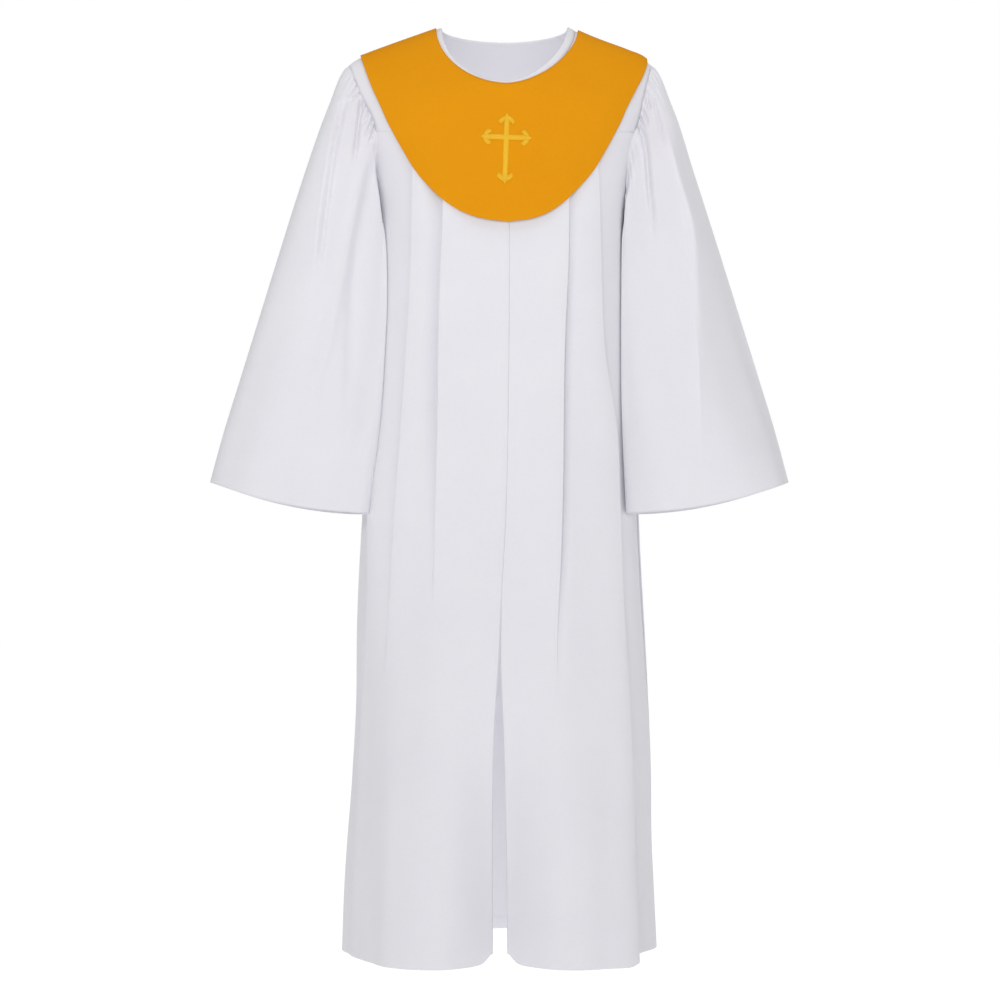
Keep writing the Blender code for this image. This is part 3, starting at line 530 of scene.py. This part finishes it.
def panel_row(level, face, side, girths, line, rise):
    """Points of one level of a front or back panel."""
    x, y = line_points(line, girths).T
    along = unit(line_points(line, girths + 0.003) - line_points(line, girths - 0.003))
    lift, shift = fold_lift(girths, level, face, line)
    lift += wrinkles(girths, level, face)
    if face == FRONT and side == LEFT:
        past = girths - curve(CENTRE_LINE, 1, level)
        fly = between(past, -0.016, -0.010) * (1 - FLY_EDGE * between(past, -0.0050, 0.0005))
        lift += FLY_HEIGHT * lap_share(level) * fly
    x = x + np.sign(x) * side_curve(SIDE_TRIM, side, level) * (np.abs(x) / line[1][-1]) ** 4
    out_x = along[:, 1] * -face * lift + along[:, 0] * shift
    out_y = along[:, 0] * face * lift + along[:, 1] * shift
    return np.stack([x + out_x, y + out_y, rise - level], axis=-1)


def fold_places(face, side, level, line):
    """Girths that carry a column of points: close together at each crest."""
    places = []
    for fold in FOLDS:
        if fold[0] == face and fold[1] == side:
            place = np.interp(side * curve(fold[2], 1, level), line[1], line[0])
            places.append((abs(place), fold[3], fold[4]))
    return places


def fine_stops(stops, pattern):
    """Splits each gap between a row's stops into an even number of smaller gaps."""
    pieces = [np.linspace(a, b, n, endpoint=False) for a, b, n in zip(stops[:-1], stops[1:], pattern)]
    return np.concatenate(pieces + [stops[-1:]])


def panel_girths(face, side, level, line, start, end):
    """Girths of one row from the middle to the side, all rows with the same count."""
    stops = [start]
    pattern = []
    for place, rise, drop in fold_places(face, side, level, line):
        gap = place - stops[-1]
        before = min(1.6 * rise, 0.5 * gap)
        stops += list(np.linspace(stops[-1], place - before, 4)[1:])
        stops += [place - 0.45 * before, place - 0.15 * before, place, place + drop]
        stops.append(place + drop + 0.35 * rise)
        pattern += [6, 6, 6, 6, 6, 7, 8, 6]
    room = end - stops[-1]
    stops += list(stops[-1] + room * np.array([0.15, 0.33, 0.52, 0.7, 0.85, 0.95, 1.0]))
    pattern += [6] * 7
    return fine_stops(np.array(stops) * side, pattern)


def hem_rise(face, side, level, line, girths, start, end):
    """How far the hem is drawn up at the sides, the slit's corners and the right front's last fold."""
    hemward = between(level, HEM - 0.094, HEM)
    to_side = end - np.abs(girths)
    if side == LEFT:
        rise = LEFT_RISE * hemward * ease(1 - to_side / 0.20)
    elif face == BACK:
        rise = RIGHT_RISE * hemward * ease(1 - to_side / 0.07)
    else:
        past = girths - fold_places(face, side, level, line)[-1][0]
        rise = RIGHT_RISE * hemward * between(past, -0.004, 0.008)
        rise += RIGHT_RISE * between(level, HEM - 0.029, HEM) * bell(past + 0.002, 0.008)
    if face == FRONT:
        rise = rise + SLIT_RISE * hemward * bell(np.abs(girths) - start, 0.012)
    return rise


def soft_panel(face, side):
    """Fine outer face of a front panel or half the back, its top row tucked under the yoke."""
    levels = np.concatenate([np.linspace(YOKE_SEAM - 0.004, 0.30, 28), np.linspace(0.30, 1.26, 98)[1:],
                             np.linspace(1.26, HEM, 15)[1:]])
    rows = []
    for level in levels:
        line = section_line(level, face)
        across = side_curve(ARMHOLE, side, level) if level < UNDERARM else curve(BODY, HALF_WIDTH, level)
        end = abs(np.interp(side * across, line[1], line[0]))
        start = 0.0
        if face == FRONT:
            start = side * curve(CENTRE_LINE, 1, level) + curve(SLIT, 1, level) - LAP * lap_share(level)
        girths = panel_girths(face, side, level, line, start, end)
        rise = hem_rise(face, side, level, line, girths, start, end)
        row = panel_row(level, face, side, girths, line, rise)
        if level < YOKE_SEAM:
            row[:, 1] -= face * 0.0003
        rows.append(row)
    return np.array(rows)


def tangents(grid, axis, ring):
    """Mean direction along an axis at each point."""
    points = np.moveaxis(grid, axis, 0)
    if ring:
        steps = unit(np.roll(points, -1, axis=0) - points)
        total = steps + np.roll(steps, 1, axis=0)
    else:
        steps = unit(points[1:] - points[:-1])
        first = 1.5 * steps[0] - 0.5 * steps[1]
        last = 1.5 * steps[-1] - 0.5 * steps[-2]
        total = np.concatenate([first[None], steps[1:] + steps[:-1], last[None]])
    return np.moveaxis(unit(total), 0, axis)


def outward(grid, ring=False, crest=()):
    """Outward directions of a grid. The columns in crest lie on the shoulder line and lean neither way."""
    normal = unit(np.cross(tangents(grid, 0, False), tangents(grid, 1, ring)))
    for column in crest:
        normal[:, column, 1] = 0.0
    normal = unit(normal)
    centre = grid.mean(axis=1, keepdims=True) if ring else np.array(BODY_MIDDLE)
    return -normal if np.sum(normal * (grid - centre)) < 0 else normal


def armhole_point(turn, side):
    """A point of the armhole: 0 at the shoulder, 90 in front, 180 under the arm, 270 behind."""
    angle = np.radians(turn)
    level = ARMHOLE[0][0] + (UNDERARM - ARMHOLE[0][0]) * (1 - np.cos(angle)) / 2
    across = side_curve(ARMHOLE, side, level)
    y = np.where(np.sin(angle) >= 0, depth_at(across, level, FRONT), depth_at(across, level, BACK))
    return np.stack([side * across, y, -level], axis=-1)


def yoke_edge(turn, side):
    """Outer edge of a yoke from the middle (0) along the yoke seam and up the armhole (1)."""
    reach = side_curve(ARMHOLE, side, YOKE_SEAM)
    seam = share_of(turn / YOKE_CORNER)
    climb = share_of((turn - YOKE_CORNER) / (1 - YOKE_CORNER))
    level = ARMHOLE[0][0] + (YOKE_SEAM - ARMHOLE[0][0]) * (1 - np.cos((1 - climb) * np.pi / 2))
    return side * np.where(turn < YOKE_CORNER, seam * reach, side_curve(ARMHOLE, side, level)), level


def neck_edge(turn, side, face, middle, half, low):
    """Neck edge from its middle (0) to the shoulder line (1)."""
    angle = turn * np.pi / 2
    power = 1.72 if side == RIGHT and face == FRONT else 1.95
    top_across = middle + side * half
    top = curve(SHOULDER, 1, top_across)
    across = middle + side * half * np.sin(angle) ** (2 / power)
    return across, top + (low - top) * np.cos(angle) ** (2 / power)


def fan(inner, outer, face, rows):
    """Grid of the cap surface between a neck edge and an outer edge, both as (across, level)."""
    first = lean_of(inner[0], inner[1], face)
    last = lean_of(outer[0], outer[1], face)
    grid = []
    for share in rows:
        across = inner[0] + (outer[0] - inner[0]) * share
        grid.append(cap_points(across, first + (last - first) * share, face))
    return np.array(grid)


def both_sides(make):
    """Joins a left half and a right half, which share their middle column."""
    left = make(LEFT)
    right = make(RIGHT)
    return np.concatenate([left[:, ::-1], right[:, 1:]], axis=1)


def soft_yoke(face, side):
    """Fine outer face of a front yoke or half the back one."""
    turn = np.concatenate([np.linspace(0.0, YOKE_CORNER, 40), np.linspace(YOKE_CORNER, 1.0, 36)[1:]])
    inner = neck_edge(turn, side, face, *NECK_EDGE[face])
    outer = yoke_edge(turn, side)
    if face == FRONT:
        centre = curve(CENTRE_LINE, 1, YOKE_SEAM) * (1 - ease(turn / YOKE_CORNER))
        outer = (outer[0] + centre, outer[1])
    return fan(inner, outer, face, np.linspace(0.0, 1.0, 30))


def collar_lift(level):
    """How far the collar's outer face stands off the smooth body, to clear the pleats below it."""
    return 0.0036 + 0.0040 * between(level, 0.11, 0.26)


def soft_collar(face, side):
    """Fine face of half a collar, on the smooth body."""
    turn = np.concatenate([np.linspace(0.0, 0.84, 60), 1 - np.linspace(0.4, 0.0, 25)[1:] ** 2])
    table = COLLAR_FRONT_EDGE if face == FRONT else COLLAR_BACK_EDGE
    inner = neck_edge(turn, side, face, *COLLAR_NECK_EDGE[face])
    across = side * (curve(table, 1, turn) + side_curve(COLLAR_TRIM, side, turn))
    across += 0.0105 - 0.005 * ease(turn / 0.4)
    short = curve(SHOULDER, 1, across[-1]) - table[-1][2]
    level = curve(table, 2, turn) + short * between(turn, 0.8, 1.0)
    shares = np.concatenate([np.linspace(0.0, 0.9, 40), np.linspace(0.9, 1.0, 16)[1:]])
    return fan(inner, (across, level), face, shares)


def sleeve_ring(along, side, turns):
    """One ring of a sleeve, its inner end on the body's front or side."""
    angle = np.radians(turns)
    outer_x = curve(SLEEVE, OUTER_ACROSS, along)
    inner_level = curve(SLEEVE, INNER_LEVEL, along)
    inner_x = side_curve(INNER_FOLD, side, inner_level)
    inner_x += (ARMPIT_ACROSS - inner_x) * (1 - ease(along / 0.12))
    power = curve(SLEEVE, RING_SQUARENESS, along)
    reach = np.sign(np.cos(angle)) * np.abs(np.cos(angle)) ** (2 / power)
    squareness = np.where(reach < 0, power + INNER_SQUARENESS * ease(along / 0.2), power)
    x = (outer_x + inner_x) / 2 + (outer_x - inner_x) / 2 * reach
    depth = curve(SLEEVE, HALF_DEPTH, along) * rounded(np.abs(reach), squareness)
    y = curve(SLEEVE, MIDDLE, along) - depth * np.sign(np.sin(angle))
    share = ((1 + reach) / 2) ** curve(SLEEVE, BEND, along)
    level = inner_level + (curve(SLEEVE, OUTER_LEVEL, along) - inner_level) * share
    level += CUFF_DROP * ease(along) * (1 - np.sin(angle)) / 2
    points = np.stack([side * x, y, -level], axis=-1)
    if along > 0:
        points += (armhole_point(turns, side) - sleeve_ring(0.0, side, turns)) * (1 - ease(along / 0.25))
    return points


def body_lift_table(side):
    """Levels, depth shares, how far the folded body stands off its smooth form there."""
    levels = np.linspace(YOKE_SEAM, 0.72, 60)
    shares = np.linspace(0.0, 1.0, 80)
    lifts = {}
    for face in (FRONT, BACK):
        rows = []
        for level in levels:
            line = section_line(level, face)
            across = curve(BODY, HALF_WIDTH, level) * rounded(shares, curve(BODY, SQUARENESS, level))
            girths = np.interp(side * across, line[1], line[0])
            rows.append(fold_lift(girths, level, face, line)[0] + wrinkles(girths, level, face))
        lifts[face] = np.array(rows)
    return levels, shares, lifts


BODY_LIFTS = {LEFT: body_lift_table(LEFT), RIGHT: body_lift_table(RIGHT)}


def body_lift(table, level, share, face):
    """Reads the table of body_lift_table at places given by level and depth share."""
    levels, shares, lifts = table
    down = np.clip((level - levels[0]) / (levels[1] - levels[0]), 0.0, len(levels) - 1.001)
    inward = np.clip(share / shares[1], 0.0, len(shares) - 1.001)
    i = down.astype(int)
    j = inward.astype(int)
    rows = lifts[face]
    near = rows[i, j] + (rows[i, j + 1] - rows[i, j]) * (inward - j)
    far = rows[i + 1, j] + (rows[i + 1, j + 1] - rows[i + 1, j]) * (inward - j)
    return near + (far - near) * (down - i)


def body_beside(side, level, y):
    """The smooth body's depth on the face where Y lies, and how far the folded body stands off it at Y."""
    depth = np.where(y < 0, body_depth(level, FRONT), body_depth(level, BACK))
    share = share_of(np.abs(y) / depth)
    table = BODY_LIFTS[side]
    return depth, np.where(y < 0, body_lift(table, level, share, FRONT), body_lift(table, level, share, BACK))


def clear_of_body(points, side, gap):
    """Moves points sideways until they are clear of the folded body beside them."""
    level = -points[:, 2]
    depth, lift = body_beside(side, level, points[:, 1])
    stand = gap + lift
    section = rounded(np.abs(points[:, 1]) / (depth + stand), curve(BODY, SQUARENESS, level))
    limit = (curve(BODY, HALF_WIDTH, level) + stand) * section
    across = np.abs(points[:, 0])
    points[:, 0] = side * (across + (soft_max(across, limit, 0.001) - across) * between(level, 0.205, 0.255))
    return points


def hug_body(points, side):
    """Brings the cloth beside a sleeve's inner fold down to the body that it lies on."""
    level = -points[:, 2]
    across = np.abs(points[:, 0])
    fold = side_curve(INNER_FOLD, side, level)
    body = np.where(points[:, 1] < 0, depth_at(side * fold, level, FRONT), depth_at(side * fold, level, BACK))
    lift = body_beside(side, level, body)[1]
    limit = np.abs(body) + 1.15 * lift + 0.0004 + HUG_SLOPE * np.maximum(across - fold, 0.0)
    reach = np.abs(points[:, 1])
    low = np.maximum(-soft_max(-reach, -limit, 0.003), 0.0)
    points[:, 1] = np.sign(points[:, 1]) * (reach + (low - reach) * between(level, 0.13, 0.18))
    return points


def flat_outer_side(points, side):
    """Lets the right sleeve's front run straight back from its long fold to its outer edge."""
    if side == LEFT:
        return points
    table = np.array(OUTER_EDGE)
    sleeve = np.array(SLEEVE)
    level = -points[:, 2]
    across = np.abs(points[:, 0])
    share = ease(np.interp(level, table[:, 0], table[:, 2], left=0.0, right=0.0))
    fold = np.interp(level, table[:, 0], table[:, 1])
    outer = np.interp(level, sleeve[:, OUTER_LEVEL], sleeve[:, OUTER_ACROSS])
    front = points[:, 1] < 0
    order = np.argsort(across[front])
    fold_y = np.interp(fold, across[front][order], points[front][order, 1])
    off = soft_max(np.zeros_like(across), across - fold, 0.0012)
    chord = fold_y * (1 - share_of(off / (outer - fold))) ** 0.85
    beyond = share_of(off / 0.004)
    flatter = (np.maximum(points[:, 1], chord) - points[:, 1]) * OUTER_FLATNESS * share * beyond
    points[:, 1] += np.where(front, flatter, 0.0)
    return points


def crease_depth(points, side):
    """How far the creases on a sleeve's front move its cloth forwards."""
    level = -points[:, 2]
    across = np.abs(points[:, 0])
    lift = np.zeros(len(points))
    for height, inner, outer, rows in SLEEVE_CREASES[side]:
        table = np.array(rows)
        share = np.interp(level, table[:, 0], table[:, 2], left=0.0, right=0.0)
        off = across - np.interp(level, table[:, 0], table[:, 1])
        lift += height * ease(share) * bell(off, np.where(off < 0, inner, outer))
    return lift * ease(-points[:, 1] / 0.03)


def sleeve_lift(turns, along, side):
    """Back fold, gathers and soft waves of a sleeve at one ring; its front has its own creases."""
    around = (turns + 180) % 360 - 180
    hidden = 1 - ease(np.sin(np.radians(turns)) / 0.5)
    fold = SLEEVE_FOLDS[side]
    off = (turns - curve(fold, 1, along)) / curve(fold, 3, along)
    lift = hidden * curve(fold, 2, along) * bell(off, 1.0)
    for place, size, reach, width, lean in GATHERS[side]:
        fade = float(ease(along / 0.014) * (1 - ease((along - 0.01) / reach)))
        front = 1.1 + 0.1 * hidden if reach < 0.15 else hidden
        lift += front * size * fade * bell(around - place - lean * along, width * (1 + 3 * along))
    size = 0.0006 + 0.0012 * between(along, 0.35, 0.95)
    lift += size * np.sin(np.radians(turns) * 5 + 1.3 * side + 2.0 * along)
    lift += 0.5 * size * np.sin(np.radians(turns) * 9 - 0.7 * side + 3.5 * along)
    return lift


def soft_sleeve(side):
    """Fine outer face of a sleeve: rings to the cuff, the first one tucked under the armhole's edge."""
    turns = np.arange(376) * 360 / 376
    turns = turns + np.degrees(0.3 * np.sin(np.radians(2 * turns)))
    alongs = np.concatenate([[0.0], np.linspace(0.0, 1.0, 126)[1:] ** 1.35])
    rows = []
    for along in alongs[1:]:
        points = hug_body(flat_outer_side(sleeve_ring(along, side, turns), side), side)
        rows.append(clear_of_body(points, side, 0.0005 + 0.0008 * ease(along / 0.1)))
    edge = armhole_point(turns, side) * (1.0, 1.003, 1.0) + (-side * 0.0012, 0.0, 0.0002)
    grid = np.array([edge] + rows)
    lift = np.array([sleeve_lift(turns, along, side) for along in alongs])
    forward = np.array([crease_depth(points, side) for points in grid])
    grid = grid + outward(grid, ring=True) * lift[:, :, None]
    grid[:, :, 1] -= forward
    return grid


def neck_band():
    """Round-edged band that turns over the neck edge: rings of points round the neck, flatter behind."""
    front = both_sides(lambda side: soft_yoke(FRONT, side)[:3])
    back = both_sides(lambda side: soft_yoke(BACK, side)[:3])
    loop = np.concatenate([front, back[:, ::-1][:, 1:-1]], axis=1)
    edge = loop[0]
    inward = unit(loop[0] - loop[1])
    around = unit(np.roll(edge, -1, axis=0) - np.roll(edge, 1, axis=0))
    out = unit(np.cross(inward, around))
    if np.sum(out * (edge - np.array(BODY_MIDDLE))) < 0:
        out = -out
    flatter = 1 - 0.45 * ease(edge[:, 1:2] / 0.03)
    return np.array([edge + inward * past + out * off * (flatter if off < 0 else 1)
                     for past, off in NECK_SECTION])


def on_collar(across, level, height):
    """A point that stands a little off the front collar's outer face."""
    y = depth_at(across, level, FRONT) - collar_lift(level) - height
    return np.stack([across, y, -level], axis=-1)


def stitched_leaf(spine, widths, height):
    """Domed, satin-stitched leaf: a strip of threads laid across a curved spine."""
    spine = np.array(spine)
    count = 40
    place = np.linspace(0, len(spine) - 1, count)
    u = np.interp(place, np.arange(len(spine)), spine[:, 0])
    v = np.interp(place, np.arange(len(spine)), spine[:, 1])
    width = np.interp(place, np.arange(len(spine)), widths)
    ahead = unit(np.stack([np.gradient(u), np.gradient(v)], axis=-1))
    grid = []
    for share in np.linspace(-1, 1, 9):
        x = u - ahead[:, 1] * width * share
        y = v + ahead[:, 0] * width * share
        dome = height * np.sqrt(np.maximum(1 - share ** 2, 0.0)) * np.minimum(width / 0.0034, 1.0) ** 0.5
        dome = dome + 0.00012 * np.cos(np.arange(count) * np.pi) * (1 - share ** 2)
        grid.append(np.stack([x, y, dome], axis=-1))
    return np.array(grid)


def cross_pieces():
    """Embroidered cross: four arms, each with a barbed tip of a point and two hooks."""
    tilt = np.radians(CROSS_TILT)
    patches = []
    for (dx, dy), reach in CROSS_ARMS:
        ahead = np.array((dx, dy), dtype=float)
        beside = np.array((-dy, dx), dtype=float)
        base = reach - 0.0110
        arm = [ahead * 0.0, ahead * base * 0.5, ahead * base]
        patches.append(stitched_leaf(arm, (0.0038, 0.0037, 0.0036), 0.0018))
        tip = [ahead * (base - 0.002), ahead * (reach - 0.0078), ahead * (reach - 0.0038), ahead * reach]
        patches.append(stitched_leaf(tip, (0.0030, 0.0046, 0.0030, 0.0003), 0.0022))
        for hand in (-1, 1):
            hook = [ahead * (reach - back) + beside * hand * off for back, off in CROSS_HOOK]
            patches.append(stitched_leaf(hook, (0.0016, 0.0031, 0.0033, 0.0012), 0.0018))
    points = []
    faces = []
    for patch in patches:
        x, y, height = np.moveaxis(patch, 2, 0)
        across = CROSS_ACROSS + x * np.cos(tilt) - y * np.sin(tilt)
        level = CROSS_LEVEL - (x * np.sin(tilt) + y * np.cos(tilt))
        faces.append(quads(np.arange(x.size).reshape(x.shape)) + len(points) * x.size)
        points.append(on_collar(across, level, height + 0.0003).reshape(-1, 3))
    faces = np.concatenate(faces)
    return cloth_mesh("cross_embroidery", np.concatenate(points), faces, len(faces), thread_cloth)


def add_object(name, data):
    added = bpy.data.objects.new(name, data)
    bpy.context.scene.collection.objects.link(added)
    return added


def quads(index):
    corners = (index[:-1, :-1], index[:-1, 1:], index[1:, 1:], index[1:, :-1])
    return np.stack([corner.ravel() for corner in corners], axis=1)


def cloth_mesh(name, points, faces, flat_from, material):
    """A piece of cloth: smooth faces, with its narrow rim faces kept flat."""
    mesh = bpy.data.meshes.new(name)
    mesh.from_pydata(points.tolist(), [], faces.tolist())
    smooth = np.ones(len(faces), dtype=bool)
    smooth[flat_from:] = False
    mesh.polygons.foreach_set("use_smooth", smooth)
    mesh.materials.append(material)
    mesh.update()
    piece = add_object(name, mesh)
    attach(piece, "root")
    return piece


def shell(name, grid, material, ring=False, crest=(), thickness=CLOTH, normal=None):
    """Thin cloth whose outer face is the grid; its thickness may differ from row to row."""
    if normal is None:
        normal = outward(grid, ring, crest)
    points = np.concatenate([grid, grid - normal * thickness]).reshape(-1, 3)
    count = grid.size // 3
    index = np.arange(count).reshape(grid.shape[:2])
    if ring:
        index = np.concatenate([index, index[:, :1]], axis=1)
    lining = quads(index) + count
    outer = quads(index)[:, (0, 3, 2, 1)]
    edges = [index[0], index[-1, ::-1]]
    if not ring:
        edges += [index[::-1, 0], index[:, -1]]
    rims = [np.stack([edge[:-1], edge[1:], edge[1:] + count, edge[:-1] + count], axis=1) for edge in edges]
    faces = np.concatenate([outer, lining] + rims)
    turn = np.cross(grid[1, 0] - grid[0, 0], grid[1, 1] - grid[0, 0])
    if np.dot(turn, normal[0, 0]) < 0:
        faces = faces[:, ::-1]
    return cloth_mesh(name, points, faces, 2 * len(outer), material)


def hemmed(name, grid, ring=False):
    """White cloth whose last rows are turned up and sewn."""
    from_edge = np.abs(grid[:, :, 2] - grid[-1, :, 2]).max(axis=1)
    thickness = (CLOTH + HEM_EXTRA * (from_edge < HEM_HEIGHT))[:, None, None]
    return shell(name, grid, white_cloth, ring=ring, thickness=thickness)


def tube(name, loops, material):
    """A band closed both ways."""
    index = np.arange(loops.size // 3).reshape(loops.shape[:2])
    faces = quads(np.pad(index, (0, 1), "wrap"))
    return cloth_mesh(name, loops.reshape(-1, 3), faces, len(faces), material)


def node_at(tree, kind, place, **sockets):
    node = tree.nodes.new(kind)
    tree.links.new(place, node.inputs["Vector"])
    for name, value in sockets.items():
        node.inputs[name.replace("_", " ")].default_value = value
    return node


def weighted_sum(tree, first, share, second):
    """Adds a share of one socket to another socket."""
    node = tree.nodes.new("ShaderNodeMath")
    node.operation = "MULTIPLY_ADD"
    node.inputs[1].default_value = share
    node.inputs[2].default_value = 0.0
    tree.links.new(first, node.inputs[0])
    if second:
        tree.links.new(second, node.inputs[2])
    return node.outputs[0]


def cloth_colour(tree, place, light, dark):
    """Two near colours, mottled by soft clouds and by fine slubs."""
    mottle = node_at(tree, "ShaderNodeTexNoise", place, Scale=9.0, Detail=4.0, Roughness=0.6)
    slub = node_at(tree, "ShaderNodeTexNoise", place, Scale=260.0, Detail=2.0)
    ramp = tree.nodes.new("ShaderNodeValToRGB")
    for stop, position, colour in zip(ramp.color_ramp.elements, (0.30, 0.70), (dark, light)):
        stop.position = position
        stop.color = (*colour, 1)
    clouds = weighted_sum(tree, mottle.outputs["Fac"], 0.65, None)
    tree.links.new(weighted_sum(tree, slub.outputs["Fac"], 0.35, clouds), ramp.inputs["Fac"])
    return ramp.outputs["Color"]


def bump(tree, height, strength, distance):
    node = tree.nodes.new("ShaderNodeBump")
    node.inputs["Strength"].default_value = strength
    node.inputs["Distance"].default_value = distance
    tree.links.new(height, node.inputs["Height"])
    return node


def cloth_relief(tree, place, weave, crumple):
    """Fine warp and weft under a soft crumple."""
    threads = []
    for direction in ("X", "Z"):
        wave = node_at(tree, "ShaderNodeTexWave", place, Scale=weave, Distortion=0.6, Detail=1.0)
        wave.bands_direction = direction
        threads.append(wave.outputs["Fac"])
    fine = bump(tree, weighted_sum(tree, threads[0], 1.0, threads[1]), 0.25, 0.0002)
    soft = node_at(tree, "ShaderNodeTexNoise", place, Scale=22.0, Detail=3.0, Roughness=0.5)
    coarse = bump(tree, soft.outputs["Fac"], 0.5, crumple)
    tree.links.new(fine.outputs["Normal"], coarse.inputs["Normal"])
    return coarse.outputs["Normal"]


def cloth(name, light, dark, weave, roughness, sheen, crumple, gloss):
    """Woven cloth: fine warp and weft, faint mottling of its colour and a soft crumple."""
    material = bpy.data.materials.new(name)
    material.use_nodes = True
    tree = material.node_tree
    shader = tree.nodes["Principled BSDF"]
    shader.inputs["Roughness"].default_value = roughness
    shader.inputs["Sheen Weight"].default_value = sheen
    shader.inputs["Sheen Roughness"].default_value = 0.5
    shader.inputs["Specular IOR Level"].default_value = gloss
    place = tree.nodes.new("ShaderNodeTexCoord").outputs["Object"]
    tree.links.new(cloth_colour(tree, place, light, dark), shader.inputs["Base Color"])
    tree.links.new(cloth_relief(tree, place, weave, crumple), shader.inputs["Normal"])
    return material


def area_light(name, place, aim, width, height, power):
    data = bpy.data.lights.new(name, "AREA")
    data.shape = "RECTANGLE"
    data.size = width
    data.size_y = height
    data.energy = power
    lamp = add_object(name, data)
    lamp.location = place
    lamp.rotation_euler = (Vector(aim) - Vector(place)).to_track_quat("-Z", "Y").to_euler()


def camera():
    data = bpy.data.cameras.new("camera")
    data.sensor_width = SENSOR
    data.lens = SENSOR * CAMERA_DISTANCE / (PHOTO_WIDTH * PIXEL)
    view = add_object("camera", data)
    view.location = (0.0, -CAMERA_DISTANCE, CAMERA_HEIGHT)
    view.rotation_euler = (np.pi / 2, 0.0, 0.0)
    bpy.context.scene.camera = view


def surroundings():
    """White band round the horizon, which fades into a dim dome above it."""
    world = bpy.data.worlds.new("studio")
    world.use_nodes = True
    tree = world.node_tree
    place = tree.nodes.new("ShaderNodeTexCoord")
    height = tree.nodes.new("ShaderNodeSeparateXYZ")
    white_band = tree.nodes.new("ShaderNodeValToRGB")
    stops = zip(white_band.color_ramp.elements, (BAND_TOP, BAND_TOP + BAND_FADE), (1.0, DOME_LIGHT))
    for stop, position, grey in stops:
        stop.position = position
        stop.color = (grey, grey, grey, 1.0)
    tree.links.new(place.outputs["Generated"], height.inputs["Vector"])
    tree.links.new(height.outputs["Z"], white_band.inputs["Fac"])
    tree.links.new(white_band.outputs["Color"], tree.nodes["Background"].inputs["Color"])
    bpy.context.scene.world = world


def pale_floor():
    turns = np.radians(np.arange(FLOOR_SIDES) * 360 / FLOOR_SIDES)
    ring = [(FLOOR_REACH * np.cos(turn), FLOOR_REACH * np.sin(turn), FLOOR) for turn in turns]
    mesh = bpy.data.meshes.new("floor")
    mesh.from_pydata(ring, [], [list(range(FLOOR_SIDES))])
    pale = bpy.data.materials.new("pale_floor")
    pale.use_nodes = True
    shader = pale.node_tree.nodes["Principled BSDF"]
    shader.inputs["Base Color"].default_value = (FLOOR_GREY, FLOOR_GREY, FLOOR_GREY, 1.0)
    shader.inputs["Roughness"].default_value = 0.9
    shader.inputs["Emission Color"].default_value = (1.0, 1.0, 1.0, 1.0)
    shader.inputs["Emission Strength"].default_value = FLOOR_GLOW
    mesh.materials.append(pale)
    floor = add_object("floor", mesh)


camera()
surroundings()
bpy.context.scene.view_settings.view_transform = "Standard"
bpy.context.scene.view_settings.look = "None"
for lamp in LAMPS:
    area_light(*lamp)
pale_floor()

white_cloth = cloth("white_cloth", (0.775, 0.768, 0.808), (0.745, 0.738, 0.782),
                    weave=420.0, roughness=0.85, sheen=0.10, crumple=0.0012, gloss=0.25)
gold_cloth = cloth("gold_cloth", (0.765, 0.306, 0.003), (0.725, 0.281, 0.002),
                   weave=420.0, roughness=0.85, sheen=0.0, crumple=0.0006, gloss=0.12)
thread_cloth = cloth("thread", (0.87, 0.51, 0.022), (0.79, 0.43, 0.014),
                     weave=900.0, roughness=0.45, sheen=0.05, crumple=0.0001, gloss=0.20)

for name, side in (("left", LEFT), ("right", RIGHT)):
    piece = hemmed("front_panel_" + name, soft_panel(FRONT, side))
    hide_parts("front_" + name)
    piece = shell("front_yoke_" + name, soft_yoke(FRONT, side), white_cloth, crest=(-1,))
    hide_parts("yoke_front_" + name)
    piece = hemmed("bell_sleeve_" + name, soft_sleeve(side), ring=True)
    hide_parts("sleeve_" + name)
piece = hemmed("back_panel", both_sides(lambda side: soft_panel(BACK, side)))
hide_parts("back")
piece = shell("back_yoke", both_sides(lambda side: soft_yoke(BACK, side)), white_cloth, crest=(0, -1))
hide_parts("yoke_back")
piece = tube("neck_band", neck_band(), white_cloth)
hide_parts("neck_binding")
for name, face in (("front", FRONT), ("back", BACK)):
    grid = both_sides(lambda side: soft_collar(face, side))
    normal = cap_normal(grid, face)
    grid = grid + normal * collar_lift(-grid[:, :, 2:])
    piece = shell("gold_collar_" + name, grid, gold_cloth, thickness=COLLAR_CLOTH, normal=normal)
    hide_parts("collar_" + name)
piece = cross_pieces()
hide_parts("cross")
for name, (flat, area, held, slot) in CUTS.items():
    piece = bpy.data.objects[name]
